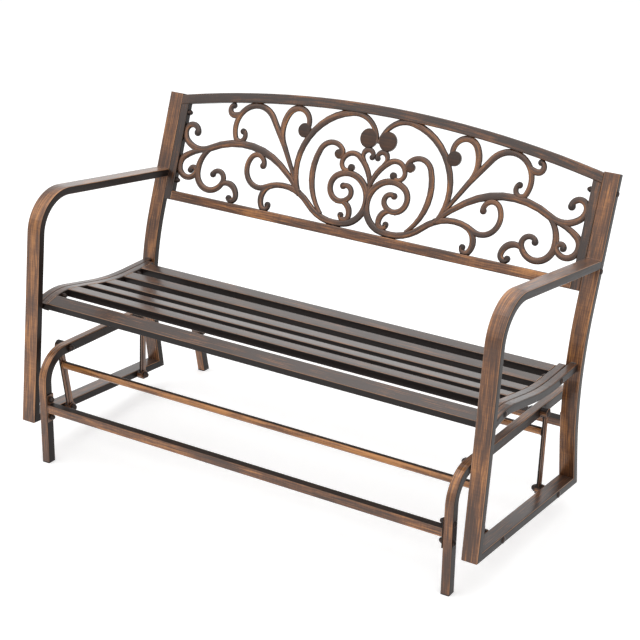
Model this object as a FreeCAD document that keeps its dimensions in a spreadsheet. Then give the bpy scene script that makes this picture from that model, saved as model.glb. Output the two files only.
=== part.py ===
import FreeCAD, Part
import math
import os
import Sketcher
from FreeCAD import Placement, Rotation, Vector

# A glider bench for two. X runs along the seat, Y from front to back, Z up.
# The origin lies on the floor, in the middle of the four feet. Lengths are in millimetres.
# A standing base carries four short rockers, and the rockers carry the seat frame.

# Driving dimensions: lengths in millimetres, angles in degrees
SIZES = {
    # Across the bench
    "bench_width": 1270.0,
    "side_tube_width": 40.0,
    "side_tube_depth": 20.0,
    "base_tube_width": 22.0,
    "base_tube_depth": 25.0,
    "link_gap": 22.0,
    "tube_wall": 1.5,
    # Base side, a tube bent to an upside-down U
    "base_depth": 693.0,
    "base_front_height": 283.0,
    "base_rear_height": 263.0,
    "base_top_depth": 609.0,
    "base_bend_radius": 68.0,
    "foot_height": 3.0,
    # Stretchers between the base sides
    "stretcher_tube": 22.0,
    "stretcher_height": 150.0,
    "stretcher_plate_height": 72.0,
    "stretcher_plate_thickness": 3.0,
    "stretcher_bolt_pitch": 48.0,
    # Pivots of the rockers
    "front_top_pivot_y": -248.5,
    "front_top_pivot_z": 280.5,
    "rear_top_pivot_y": 91.5,
    "rear_top_pivot_z": 269.0,
    "front_low_pivot_y": -217.5,
    "rear_low_pivot_y": 82.5,
    # Rockers
    "link_width": 22.0,
    "link_thickness": 5.0,
    "link_rib_width": 8.0,
    "link_rib_height": 1.5,
    "hub_radius": 12.5,
    "hub_length": 13.0,
    "cross_tube_radius": 9.5,
    "cross_tube_drop": 58.0,
    "cross_tube_rear_drop": 48.0,
    # Seat frame side: bottom rail, post with arm, and upright
    "frame_front_y": -332.75,
    "frame_front_z": 107.5,
    "frame_rear_y": 183.5,
    "frame_rear_z": 66.0,
    "arm_corner_y": -270.0,
    "arm_corner_z": 675.5,
    "arm_bend_radius": 95.0,
    "arm_slope": 8.35,
    "back_corner_y": 143.0,
    "back_corner_z": 337.0,
    "back_bend_radius": 700.0,
    "back_lean": 19.9,
    "upright_length": 488.5,
    "cap_thickness": 2.5,
    # Seat
    "seat_bar_width": 20.0,
    "seat_bar_depth": 20.0,
    "seat_nose_angle": 24.0,
    "seat_nose_y": -237.0,
    "seat_nose_z": 424.0,
    "seat_nose_radius": 190.0,
    "seat_dip_y": -11.5,
    "seat_dip_z": 377.5,
    "seat_dip_radius": 640.0,
    "slat_width": 40.0,
    "slat_depth": 20.0,
    "front_slat_y": -267.5,
    "second_slat_y": -188.0,
    "slat_pitch": 74.4,
    "seat_bar_tail": 12.5,
    "panel_clearance": 0.3,
    # Back panel, measured up the uprights from their lower corner
    "back_panel_start": 210.0,
    "back_rail_width": 25.0,
    "back_stile_width": 23.0,
    "back_panel_height": 340.0,
    "back_arch_radius": 2880.0,
    "scroll_thickness": 10.0,
    "scroll_bar_width": 15.0,
    "scroll_tip_width": 12.0,
    "scroll_flat_turn": 36.0,
    "scroll_weld_width": 10.0,
    "scroll_weld_height": 10.0,
    "back_bolt_inset": 54.0,
    "back_bolt_pitch": 181.0,
    # Fasteners and fits
    "pivot_bolt_radius": 5.0,
    "pivot_head_radius": 8.5,
    "pivot_head_length": 3.8,
    "bolt_radius": 4.0,
    "bolt_head_radius": 7.5,
    "bolt_head_length": 4.0,
    "nut_length": 12.0,
    "pivot_nut_radius": 9.0,
    "nut_radius": 7.5,
    "running_gap": 0.3,
    "running_fit": 0.05,
    "open_pivot_fit": 1.2,
    "bolt_fit": 0.15,
}


# Sizes with their spreadsheet expressions
class Size:
    """A number together with the spreadsheet expression that gives it."""

    def __init__(self, value, text=None):
        self.value = float(value)
        self.text = text or repr(self.value)

    def joined(self, other, sign, value):
        return Size(value, f"({self.text} {sign} {other.text})")

    def __add__(self, other):
        other = as_size(other)
        return self.joined(other, "+", self.value + other.value)

    def __sub__(self, other):
        other = as_size(other)
        return self.joined(other, "-", self.value - other.value)

    def __mul__(self, other):
        other = as_size(other)
        return self.joined(other, "*", self.value * other.value)

    def __truediv__(self, other):
        other = as_size(other)
        return self.joined(other, "/", self.value / other.value)

    def __neg__(self):
        return Size(-self.value, f"(-1 * {self.text})")


def as_size(number):
    return number if isinstance(number, Size) else Size(number)


def size(alias):
    """The named driving dimension."""
    return Size(SIZES[alias], f"Sizes.{alias}")


def sine(angle):
    return Size(math.sin(math.radians(angle.value)), f"sin({angle.text})")


def cosine(angle):
    return Size(math.cos(math.radians(angle.value)), f"cos({angle.text})")


def root(number):
    return Size(math.sqrt(number.value), f"sqrt({number.text})")


def lean_angle(across, up):
    """Angle from the vertical, in degrees, of a direction in the side view."""
    value = math.degrees(math.atan2(across.value, up.value))
    return Size(value, f"atan2({across.text}; {up.text})")


# Points and directions in the side view, each a pair of sizes (y, z)
def along(point, direction, distance):
    return (point[0] + direction[0] * distance, point[1] + direction[1] * distance)


def leaning(angle):
    """Unit direction that leans back from the vertical by an angle."""
    return (sine(angle), cosine(angle))


def across(direction):
    """Unit direction a quarter turn clockwise, to the back of an upright direction."""
    return (direction[1], -direction[0])


def direction_between(start, end):
    dy = end[0] - start[0]
    dz = end[1] - start[1]
    length = root(dy * dy + dz * dz)
    return (dy / length, dz / length)


def rectangle(centre, direction, width, length):
    """Corners of a rectangle whose long side follows the direction."""
    side = across(direction)
    low = along(centre, direction, -length / 2)
    high = along(centre, direction, length / 2)
    return [
        along(low, side, -width / 2),
        along(low, side, width / 2),
        along(high, side, width / 2),
        along(high, side, -width / 2),
    ]


document = FreeCAD.newDocument("glider_bench")
sheet = document.addObject("Spreadsheet::Sheet", "Sizes")
for row, (alias, number) in enumerate(SIZES.items(), start=1):
    sheet.set(f"A{row}", alias)
    sheet.set(f"B{row}", str(number))
    sheet.setAlias(f"B{row}", alias)
document.recompute()

nodes = []
ROUND, SQUARE, HEXAGON, OCTAGON = 0, 4, 6, 8
# Flat sides of a pin, hub or round tube; the bores that turn on pins are true rounds
ROUND_SIDES = 12


# Sketches
def new_body(label):
    body = document.addObject("PartDesign::Body", label)
    body.Label = label
    body.AllowCompound = True
    nodes.append(body)
    return body


def new_sketch(body, name, role, height=None):
    """An empty sketch on one of the body's own planes, raised by a height where one is given."""
    plane = next(item for item in body.Origin.OriginFeatures if item.Role == role)
    sketch = body.newObject("Sketcher::SketchObject", name)
    sketch.AttachmentSupport = [(plane, "")]
    sketch.MapMode = "FlatFace"
    if height is not None:
        sketch.AttachmentOffset = Placement(Vector(0, 0, height.value), Rotation())
        sketch.setExpression("AttachmentOffset.Base.z", height.text)
    return sketch


def vector(point):
    return Vector(point[0].value, point[1].value, 0)


def bind(sketch, kind, places, number):
    """Add one dimension to a sketch and tie it to its expression."""
    index = sketch.addConstraint(Sketcher.Constraint(kind, *places, number.value))
    sketch.setExpression(f"Constraints[{index}]", number.text)


def pin(sketch, geometry, end, point):
    bind(sketch, "DistanceX", (geometry, end), point[0])
    bind(sketch, "DistanceY", (geometry, end), point[1])


def arc_between(start, end, radius, bulge):
    """An arc from start to end; bulge is 1 where it swells to the right of the way, else -1."""
    middle = (start + end) / 2
    half = (end - start) / 2
    rise = math.sqrt(radius * radius - half.Length * half.Length)
    left = Vector(-half.y, half.x, 0).normalize()
    centre = middle + left * rise * bulge
    first, last = (start, end) if bulge > 0 else (end, start)
    angles = [math.atan2(point.y - centre.y, point.x - centre.x) for point in (first, last)]
    return Part.ArcOfCircle(Part.Circle(centre, Vector(0, 0, 1), radius), *angles)


def draw_outline(sketch, corners, arcs=None):
    """A closed outline through corners; arcs gives (radius, bulge) for the sides that are round."""
    arcs = arcs or {}
    ends = []
    for index, corner in enumerate(corners):
        following = corners[(index + 1) % len(corners)]
        start, end = vector(corner), vector(following)
        if index in arcs:
            radius, bulge = arcs[index]
            side = sketch.addGeometry(arc_between(start, end, radius.value, bulge))
            bind(sketch, "Radius", (side,), radius)
            ends.append((side, 1, 2) if bulge > 0 else (side, 2, 1))
        else:
            side = sketch.addGeometry(Part.LineSegment(start, end))
            ends.append((side, 1, 2))
    for index, corner in enumerate(corners):
        side, start, _ = ends[index]
        previous, _, end = ends[index - 1]
        sketch.addConstraint(Sketcher.Constraint("Coincident", previous, end, side, start))
        pin(sketch, side, start, corner)


def draw_circle(sketch, centre, radius):
    circle = Part.Circle(vector(centre), Vector(0, 0, 1), radius.value)
    index = sketch.addGeometry(circle)
    pin(sketch, index, 3, centre)
    bind(sketch, "Radius", (index,), radius)


def draw_polygon(sketch, centre, radius, sides):
    """A regular polygon with a flat side at the bottom; the radius reaches its corners."""
    step = 360 / sides
    corners = [
        along(centre, leaning(Size(step * (number + 0.5))), radius)
        for number in range(sides)
    ]
    draw_outline(sketch, corners)


def draw_section(sketch, centre, form, radius):
    """A round, or a polygon whose number of sides is the form."""
    if form == ROUND:
        draw_circle(sketch, centre, radius)
    else:
        draw_polygon(sketch, centre, radius, form)


def draw_path(sketch, corners, radii):
    """Straight runs joined by tangent bends; the corners are where the runs' lines meet."""
    points = [vector(corner) for corner in corners]
    tangents = []
    for before, corner, after, radius in zip(points, points[1:], points[2:], radii):
        back = (before - corner).normalize()
        ahead = (after - corner).normalize()
        half_turn = (math.pi - back.getAngle(ahead)) / 2
        reach = radius.value * math.tan(half_turn)
        tangents.append((corner + back * reach, corner + ahead * reach))
    starts = [points[0]] + [ahead for _, ahead in tangents]
    ends = [back for back, _ in tangents] + [points[-1]]
    lines = [
        sketch.addGeometry(Part.LineSegment(start, end))
        for start, end in zip(starts, ends)
    ]
    for index, ((first, last), radius) in enumerate(zip(tangents, radii)):
        before, after = lines[index], lines[index + 1]
        way_in = ends[index] - starts[index]
        way_out = ends[index + 1] - starts[index + 1]
        turns_left = way_in.cross(way_out).z > 0
        arc = sketch.addGeometry(arc_between(first, last, radius.value, 1 if turns_left else -1))
        near, far = (1, 2) if turns_left else (2, 1)
        sketch.addConstraint(Sketcher.Constraint("Tangent", before, 2, arc, near))
        sketch.addConstraint(Sketcher.Constraint("Tangent", arc, far, after, 1))
        bind(sketch, "Radius", (arc,), radius)
        corner = sketch.addGeometry(Part.Point(points[index + 1]), True)
        pin(sketch, corner, 1, corners[index + 1])
        for line in (before, after):
            sketch.addConstraint(Sketcher.Constraint("PointOnObject", corner, 1, line))
    pin(sketch, lines[0], 1, corners[0])
    pin(sketch, lines[-1], 2, corners[-1])


# Features
def pad(body, sketch, length, both_ways=False):
    feature = body.newObject("PartDesign::Pad", "Pad")
    feature.Profile = sketch
    feature.Length = length.value
    feature.setExpression("Length", length.text)
    feature.Midplane = both_ways
    return feature


def cut_through(body, sketch):
    pocket = body.newObject("PartDesign::Pocket", "Cut")
    pocket.Profile = sketch
    pocket.Type = "ThroughAll"
    pocket.Midplane = True
    return pocket


def bore(body, places, radius, form=ROUND):
    """Holes along X at places in the side view: round for pivots, square for carriage bolts."""
    sketch = new_sketch(body, "Bores", "YZ_Plane")
    for place in places:
        draw_section(sketch, place, form, radius)
    cut_through(body, sketch)


def trim(body, point, direction, away, reach):
    """Cut off what lies beyond a line in the side view: away is 1 for its back, -1 for its front."""
    side = across(direction)
    far = reach * away
    low = along(point, direction, -reach)
    high = along(point, direction, reach)
    corners = [low, high, along(high, side, far), along(low, side, far)]
    sketch = new_sketch(body, "Trim", "YZ_Plane")
    draw_outline(sketch, corners)
    cut_through(body, sketch)


def shift(body, offset):
    """Set a body along X."""
    body.Placement = Placement(Vector(offset.value, 0, 0), Rotation())
    body.setExpression("Placement.Base.x", offset.text)


def draw_tube_section(sketch, width, depth):
    """The section of a rectangular tube, round the sketch's origin."""
    for inset in (Size(0), size("tube_wall")):
        half_width, half_depth = width / 2 - inset, depth / 2 - inset
        draw_outline(sketch, [
            (-half_width, -half_depth), (half_width, -half_depth),
            (half_width, half_depth), (-half_width, half_depth),
        ])


def bent_tube(label, corners, radii, width, depth, offset):
    """A rectangular tube bent in the side view and set along X by an offset."""
    body = new_body(label)
    path = new_sketch(body, "Path", "YZ_Plane")
    draw_path(path, corners, radii)
    start, following = corners[0], corners[1]
    angle = lean_angle(following[0] - start[0], following[1] - start[1])
    section = new_sketch(body, "Section", "XY_Plane")
    section.AttachmentOffset = Placement(
        Vector(0, start[0].value, start[1].value), Rotation(Vector(1, 0, 0), -angle.value)
    )
    section.setExpression("AttachmentOffset.Base.y", start[0].text)
    section.setExpression("AttachmentOffset.Base.z", start[1].text)
    section.setExpression("AttachmentOffset.Rotation.Angle", (-angle).text)
    draw_tube_section(section, width, depth)
    sweep = body.newObject("PartDesign::AdditivePipe", "Sweep")
    sweep.Profile = section
    edges = len(radii) * 2 + 1
    sweep.Spine = (path, [f"Edge{index + 1}" for index in range(edges)])
    shift(body, offset)
    return body


def straight_tube(label, length, width, depth, place, angle):
    """A rectangular tube along X, its section turned by an angle in the side view."""
    body = new_body(label)
    section = new_sketch(body, "Section", "YZ_Plane")
    draw_tube_section(section, width, depth)
    pad(body, section, length, both_ways=True)
    body.Placement = Placement(
        Vector(0, place[0].value, place[1].value), Rotation(Vector(1, 0, 0), angle.value)
    )
    body.setExpression("Placement.Base.y", place[0].text)
    body.setExpression("Placement.Base.z", place[1].text)
    body.setExpression("Placement.Rotation.Angle", angle.text)
    return body


def mirrored(body, features):
    """Repeat features on the other side of the bench."""
    plane = next(item for item in body.Origin.OriginFeatures if item.Role == "YZ_Plane")
    copy = body.newObject("PartDesign::Mirrored", "OtherSide")
    copy.Originals = features
    copy.MirrorPlane = (plane, [""])
    body.Tip = copy


def stacked_layers(label, places, layers):
    """Bolts or nuts along X at both sides of the bench.

    Each layer is (start, end, form, radius, bore form, bore radius), with None for no bore.
    """
    body = new_body(label)
    features = []
    for start, end, form, radius, bore_form, bore_radius in layers:
        sketch = new_sketch(body, "Layer", "YZ_Plane", start)
        for place in places:
            draw_section(sketch, place, form, radius)
            if bore_form is not None:
                draw_section(sketch, place, bore_form, bore_radius)
        features.append(pad(body, sketch, end - start))
    mirrored(body, features)


def carriage_bolts(label, places, nut_face, head_face):
    """Square-necked bolts through square holes, with domed heads outside and cap nuts inside."""
    nut_end = nut_face - size("nut_length")
    stacked_layers(f"{label}_bolts", places, [
        (nut_end, head_face, SQUARE, size("bolt_radius"), None, None),
        (head_face, head_face + size("bolt_head_length"), OCTAGON, size("bolt_head_radius"),
         None, None),
    ])
    stacked_layers(f"{label}_nuts", places, [
        (nut_end, nut_face, HEXAGON, size("nut_radius"), SQUARE, bolt_hole),
    ])


def pivot_bolts(label, places, nut_face, head_face, head_length):
    """Round pins that the rockers turn on, each with a head and a nut."""
    nut_end = nut_face - size("nut_length")
    stacked_layers(f"{label}_pivot_bolts", places, [
        (nut_end, head_face, ROUND_SIDES, size("pivot_bolt_radius"), None, None),
        (head_face, head_face + head_length, OCTAGON, size("pivot_head_radius"), None, None),
    ])
    stacked_layers(f"{label}_pivot_nuts", places, [
        (nut_end, nut_face, HEXAGON, size("pivot_nut_radius"), OCTAGON, pivot_hole),
    ])


# Shared measures
tube_wall = size("tube_wall")
outer_face = size("bench_width") / 2
side_inner_face = outer_face - size("side_tube_width")
side_centre = outer_face - size("side_tube_width") / 2
link_centre = side_inner_face - size("link_gap") / 2
base_outer_face = side_inner_face - size("link_gap")
base_centre = base_outer_face - size("base_tube_width") / 2
base_inner_face = base_outer_face - size("base_tube_width")
hub_inner_end = link_centre - size("hub_length") / 2
hub_outer_end = link_centre + size("hub_length") / 2
half_side_depth = size("side_tube_depth") / 2

front_leg_y = (size("base_tube_depth") - size("base_depth")) / 2
base_front_corner = (front_leg_y, size("base_front_height"))
base_rear_corner = (front_leg_y + size("base_top_depth"), size("base_rear_height"))
rear_foot_y = size("base_depth") / 2 - size("base_tube_depth") / 2
rear_foot = (rear_foot_y, Size(0))
front_foot = (front_leg_y, Size(0))
rear_leg_way = direction_between(rear_foot, base_rear_corner)

frame_front = (size("frame_front_y"), size("frame_front_z"))
frame_rear = (size("frame_rear_y"), size("frame_rear_z"))
arm_corner = (size("arm_corner_y"), size("arm_corner_z"))
back_corner = (size("back_corner_y"), size("back_corner_z"))
rail_way = direction_between(frame_front, frame_rear)
post_way = direction_between(frame_front, arm_corner)
lower_upright_way = direction_between(frame_rear, back_corner)
back_way = leaning(size("back_lean"))
upright_top = along(back_corner, back_way, size("upright_length"))
arm_way = (cosine(size("arm_slope")), -sine(size("arm_slope")))

SIDES = (("left", -1), ("right", 1))


def on_bottom_rail(y):
    """The point of the bottom rail's centre line at a depth."""
    return (y, frame_front[1] + rail_way[1] / rail_way[0] * (y - frame_front[0]))


def offset_line(point, direction, distance):
    """A point of the parallel line that lies a distance to the back of an upright direction."""
    return along(point, across(direction), distance)


front_top_pivot = (size("front_top_pivot_y"), size("front_top_pivot_z"))
rear_top_pivot = (size("rear_top_pivot_y"), size("rear_top_pivot_z"))
front_low_pivot = on_bottom_rail(size("front_low_pivot_y"))
rear_low_pivot = on_bottom_rail(size("rear_low_pivot_y"))
top_pivots = [front_top_pivot, rear_top_pivot]
low_pivots = [front_low_pivot, rear_low_pivot]


# Standing base
def leg_point(foot, direction, height):
    """The point of a leg's centre line at a height."""
    return along(foot, direction, height / direction[1])


def stretcher_bolt_places(foot, direction):
    middle = leg_point(foot, direction, size("stretcher_height"))
    half = size("stretcher_bolt_pitch") / 2
    return [along(middle, direction, half), along(middle, direction, -half)]


vertical = leaning(Size(0))
front_bolt_places = stretcher_bolt_places(front_foot, vertical)
rear_bolt_places = stretcher_bolt_places(rear_foot, rear_leg_way)
bolt_hole = size("bolt_radius") + size("bolt_fit")
round_bolt_hole = bolt_hole / cosine(Size(180 / OCTAGON))
pivot_hole = (size("pivot_bolt_radius") + size("bolt_fit")) / cosine(Size(180 / OCTAGON))


def base_sides():
    """Legs and top rail of each side, one bent tube cut flat above its feet."""
    overrun = size("base_tube_depth")
    for name, sign in SIDES:
        corners = [
            front_foot,
            base_front_corner,
            base_rear_corner,
            along(rear_foot, rear_leg_way, -overrun),
        ]
        body = bent_tube(
            f"base_side_{name}", corners, [size("base_bend_radius")] * 2,
            size("base_tube_width"), size("base_tube_depth"), base_centre * sign,
        )
        floor_way = (Size(1), Size(0))
        for foot in (front_foot, rear_foot):
            trim(body, (foot[0], size("foot_height")), floor_way, 1, overrun * 2)
        bore(body, top_pivots, pivot_hole, OCTAGON)
        bore(body, front_bolt_places + rear_bolt_places, bolt_hole, SQUARE)


def foot_plugs():
    """A thin pad under each leg, as large as the cut end of the tube."""
    body = new_body("base_foot_plugs")
    sketch = new_sketch(body, "Plugs", "YZ_Plane", base_inner_face)
    for foot, way in ((front_foot, vertical), (rear_foot, rear_leg_way)):
        half = size("base_tube_depth") / 2 / way[1]
        top = leg_point(foot, way, size("foot_height"))
        low = (top[0], Size(0))
        draw_outline(sketch, [
            (low[0] - half, low[1]), (low[0] + half, low[1]),
            (top[0] + half, top[1]), (top[0] - half, top[1]),
        ])
    mirrored(body, [pad(body, sketch, size("base_tube_width"))])


def stretchers():
    """The two tubes that tie the base sides, with the end plates they are welded to."""
    plate_face = base_inner_face - size("stretcher_plate_thickness")
    for name, foot, way, bolts in (
        ("front", front_foot, vertical, front_bolt_places),
        ("rear", rear_foot, rear_leg_way, rear_bolt_places),
    ):
        middle = leg_point(foot, way, size("stretcher_height"))
        straight_tube(
            f"{name}_stretcher", plate_face * 2, size("stretcher_tube"), size("stretcher_tube"),
            middle, -lean_angle(way[0], way[1]),
        )
        plates = new_body(f"{name}_stretcher_plates")
        sketch = new_sketch(plates, "Plate", "YZ_Plane", plate_face)
        plate_height = size("stretcher_plate_height")
        draw_outline(sketch, rectangle(middle, way, size("base_tube_depth"), plate_height))
        for place in bolts:
            draw_section(sketch, place, SQUARE, bolt_hole)
        mirrored(plates, [pad(plates, sketch, size("stretcher_plate_thickness"))])
    places = front_bolt_places + rear_bolt_places
    carriage_bolts("stretcher", places, plate_face, base_outer_face)


# Rockers
def rockers():
    """Two flat links with hubs and a rib, joined by a round cross tube, at the front and the rear."""
    for name, top, low, drop, low_fit in (
        ("front", front_top_pivot, front_low_pivot, size("cross_tube_drop"), size("running_fit")),
        ("rear", rear_top_pivot, rear_low_pivot, size("cross_tube_rear_drop"), size("open_pivot_fit")),
    ):
        way = direction_between(low, top)
        middle = ((top[0] + low[0]) / 2, (top[1] + low[1]) / 2)
        length = root((top[0] - low[0]) * (top[0] - low[0]) + (top[1] - low[1]) * (top[1] - low[1]))
        for side, sign in SIDES:
            body = new_body(f"{name}_link_{side}")
            bar = new_sketch(body, "Bar", "YZ_Plane")
            draw_outline(bar, rectangle(middle, way, size("link_width"), length))
            pad(body, bar, size("link_thickness"), both_ways=True)
            rib = new_sketch(body, "Rib", "YZ_Plane")
            rib_length = length - size("hub_radius") * 2
            draw_outline(rib, rectangle(middle, way, size("link_rib_width"), rib_length))
            rib_thickness = size("link_thickness") + size("link_rib_height") * 2
            pad(body, rib, rib_thickness, both_ways=True)
            for place, inner_end, outer_end in (
                (top, base_outer_face + size("running_gap"), hub_outer_end),
                (low, hub_inner_end, side_inner_face - size("running_gap")),
            ):
                start = inner_end - link_centre if sign > 0 else link_centre - outer_end
                hub = new_sketch(body, "Hub", "YZ_Plane", start)
                draw_polygon(hub, place, size("hub_radius"), ROUND_SIDES)
                pad(body, hub, outer_end - inner_end)
            bore(body, [top], size("pivot_bolt_radius") + size("running_fit"))
            bore(body, [low], size("pivot_bolt_radius") + low_fit)
            shift(body, link_centre * sign)
        tube = new_body(f"{name}_cross_tube")
        section = new_sketch(tube, "Section", "YZ_Plane")
        centre = along(top, way, -drop)
        for radius in (size("cross_tube_radius"), size("cross_tube_radius") - tube_wall):
            draw_polygon(section, centre, radius, ROUND_SIDES)
        plate_face = link_centre - size("link_thickness") / 2 - size("link_rib_height")
        pad(tube, section, plate_face * 2, both_ways=True)


# Seat frame sides
def bend_centre(corner, way_in, way_out, radius):
    """The centre of a bend between two directions at a corner."""
    towards = direction_between(way_in, way_out)
    half_turn_cosine = root((way_in[0] * way_out[0] + way_in[1] * way_out[1] + 1) / 2)
    return along(corner, towards, radius / half_turn_cosine)


def upright_front_at(height):
    """Point and direction of the uprights' front face inside their long bend."""
    centre = bend_centre(back_corner, lower_upright_way, back_way, size("back_bend_radius"))
    radius = size("back_bend_radius") + half_side_depth
    rise = height - centre[1]
    run = root(radius * radius - rise * rise)
    return (centre[0] - run, height), (rise / radius, run / radius)


# The back panel's opening that its scrollwork is drawn for: half its width, its foot, its height
DRAWN_HALF_WIDTH = 572
DRAWN_FOOT = 25
DRAWN_HEIGHT = 290
back_rail_width = size("back_rail_width")
back_opening_height = size("back_panel_height") - back_rail_width * 2


def fitted_height(height):
    """A drawn height of the back panel, spread to its real opening."""
    return back_rail_width + (as_size(height) - DRAWN_FOOT) * back_opening_height / DRAWN_HEIGHT


# The bolts keep their places between the scrolls
back_bolt_heights = [
    fitted_height(size("back_bolt_inset")),
    fitted_height(size("back_bolt_inset") + size("back_bolt_pitch")),
]
back_bolt_places = [
    along(back_corner, back_way, size("back_panel_start") + height)
    for height in back_bolt_heights
]


def side_frames():
    """Bottom rail, post with arm, and upright of each side."""
    width, depth = size("side_tube_width"), size("side_tube_depth")
    overrun = size("side_tube_width") * 2
    front_mitre = direction_between((-rail_way[0], -rail_way[1]), post_way)
    rear_mitre = direction_between(rail_way, lower_upright_way)
    for name, sign in SIDES:
        centre = side_centre * sign
        rail = bent_tube(
            f"bottom_rail_{name}",
            [along(frame_front, rail_way, -overrun), along(frame_rear, rail_way, overrun)],
            [], width, depth, centre,
        )
        trim(rail, frame_front, front_mitre, -1, overrun * 2)
        trim(rail, frame_rear, rear_mitre, 1, overrun * 2)
        bore(rail, low_pivots, pivot_hole, OCTAGON)

        arm_run = back_corner[0] - arm_corner[0] + size("upright_length")
        arm_end = along(arm_corner, arm_way, arm_run)
        post = bent_tube(
            f"arm_post_{name}", [along(frame_front, post_way, -overrun), arm_corner, arm_end],
            [size("arm_bend_radius")], width, depth, centre,
        )
        trim(post, frame_front, front_mitre, 1, overrun * 2)
        upright_face = offset_line(back_corner, back_way, -half_side_depth)
        trim(post, upright_face, back_way, 1, arm_run)

        upright = bent_tube(
            f"upright_{name}",
            [along(frame_rear, lower_upright_way, -overrun), back_corner, upright_top],
            [size("back_bend_radius")], width, depth, centre,
        )
        trim(upright, frame_rear, rear_mitre, -1, overrun * 2)
        bore(upright, back_bolt_places, bolt_hole, SQUARE)
    caps = new_body("upright_caps")
    sketch = new_sketch(caps, "Cap", "YZ_Plane", side_inner_face)
    middle = along(upright_top, back_way, size("cap_thickness") / 2)
    draw_outline(sketch, rectangle(middle, back_way, depth, size("cap_thickness")))
    mirrored(caps, [pad(caps, sketch, width)])


# Seat
nose_corner = (size("seat_nose_y"), size("seat_nose_z"))
dip_corner = (size("seat_dip_y"), size("seat_dip_z"))
nose_way = (cosine(size("seat_nose_angle")), sine(size("seat_nose_angle")))
fall_way = direction_between(nose_corner, dip_corner)
level_way = (Size(1), Size(0))
nose_centre = bend_centre(nose_corner, nose_way, fall_way, size("seat_nose_radius"))
dip_centre = bend_centre(dip_corner, fall_way, level_way, size("seat_dip_radius"))


def seat_top_at(y):
    """Point and forward-to-back direction of the seat's top line at a depth."""
    nose_end = nose_centre[0] - size("seat_nose_radius") * fall_way[1]
    dip_start = dip_centre[0] + size("seat_dip_radius") * fall_way[1]
    if y.value < nose_end.value:
        radius = size("seat_nose_radius")
        run = y - nose_centre[0]
        rise = root(radius * radius - run * run)
        return (y, nose_centre[1] + rise), (rise / radius, -run / radius)
    if y.value < dip_start.value:
        steepness = fall_way[1] / fall_way[0]
        return (y, dip_corner[1] + steepness * (y - dip_corner[0])), fall_way
    if y.value < dip_centre[0].value:
        radius = size("seat_dip_radius")
        run = y - dip_centre[0]
        rise = root(radius * radius - run * run)
        return (y, dip_centre[1] - rise), (rise / radius, run / radius)
    return (y, dip_corner[1]), level_way


def square_to(direction):
    """Unit direction a quarter turn anticlockwise, up from a forward-to-back direction."""
    return (-direction[1], direction[0])


def below(point, direction, distance):
    """A point under the seat's top line, square to it."""
    return along(point, across(direction), distance)


# The front slat lies on the nose, and the others follow at an even pitch
slat_lines = [size("front_slat_y")] + [
    size("second_slat_y") + size("slat_pitch") * step
    for step in range(5)
]
# Bolts between the first two slats and between the last two
seat_bolt_places = [
    below(*seat_top_at((before + after) / 2), size("seat_bar_depth") / 2)
    for before, after in (slat_lines[:2], slat_lines[-2:])
]
support_bar_centre = side_centre
side_bar_centre = support_bar_centre - size("seat_bar_width")
support_bar_face = support_bar_centre + size("seat_bar_width") / 2
side_bar_inner_face = side_bar_centre - size("seat_bar_width") / 2


def offset_corner(corner, way_in, way_out, distance):
    """The corner of a path that runs a distance under another."""
    towards = direction_between((-way_in[0], -way_in[1]), (-way_out[0], -way_out[1]))
    half_turn_cosine = root((way_in[0] * way_out[0] + way_in[1] * way_out[1] + 1) / 2)
    turn = way_in[0] * way_out[1] - way_in[1] * way_out[0]
    sign = 1 if turn.value < 0 else -1
    return along(corner, towards, distance * sign * -1 / half_turn_cosine)


def seat_bars():
    """Bars that follow the seat's curve: one pair on the side frames, one pair on the seat panel."""
    width = size("seat_bar_width")
    half_depth = size("seat_bar_depth") / 2
    overrun = size("side_tube_width")
    nose = offset_corner(nose_corner, nose_way, fall_way, half_depth)
    dip = offset_corner(dip_corner, fall_way, level_way, half_depth)
    seat_end_y = size("back_corner_y") + overrun
    start_run = nose_corner[0] - size("frame_front_y")
    corners = [
        along(nose, nose_way, -start_run),
        nose,
        dip,
        (seat_end_y, dip[1]),
    ]
    radii = [size("seat_nose_radius") - half_depth, size("seat_dip_radius") + half_depth]
    upright_face, upright_way = upright_front_at(dip_corner[1] - half_depth)
    post_face = offset_line(frame_front, post_way, half_side_depth)
    slat_half = size("slat_width") / 2
    front_top, front_way = seat_top_at(slat_lines[0])
    panel_front = along(front_top, front_way, -slat_half)
    rear_top, rear_way = seat_top_at(slat_lines[-1])
    panel_rear = along(rear_top, rear_way, slat_half + size("seat_bar_tail"))
    ends = {
        "seat_support_bar": (post_face, post_way, upright_face, upright_way),
        "seat_side_bar": (panel_front, square_to(front_way), panel_rear, square_to(rear_way)),
    }
    for name, sign in SIDES:
        for label, centre in (
            ("seat_support_bar", support_bar_centre),
            ("seat_side_bar", side_bar_centre - size("panel_clearance")),
        ):
            bar = bent_tube(
                f"{label}_{name}", corners, radii, width, size("seat_bar_depth"), centre * sign,
            )
            front, front_line, rear, rear_line = ends[label]
            trim(bar, front, front_line, -1, size("arm_corner_z"))
            trim(bar, rear, rear_line, 1, overrun * 2)
            bore(bar, seat_bolt_places, bolt_hole, SQUARE)


def slats():
    """Six flat tubes across the seat, each lying along the seat's curve."""
    half_span = side_bar_inner_face - size("panel_clearance")
    for number, depth_line in enumerate(slat_lines, start=1):
        top, way = seat_top_at(depth_line)
        centre = below(top, way, size("slat_depth") / 2)
        angle = lean_angle(way[1], way[0])
        straight_tube(
            f"seat_slat_{number}", half_span * 2, size("slat_width"), size("slat_depth"),
            centre, angle,
        )


# Back panel, drawn flat: x across the bench, y up the uprights from the panel's lower edge
panel_edge = side_inner_face
stile_inner = panel_edge - size("back_stile_width")
arch_centre_height = size("back_panel_height") - size("back_arch_radius") - back_rail_width / 2
panel_origin = along(back_corner, back_way, size("back_panel_start"))
panel_angle = Size(90) - size("back_lean")


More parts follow.
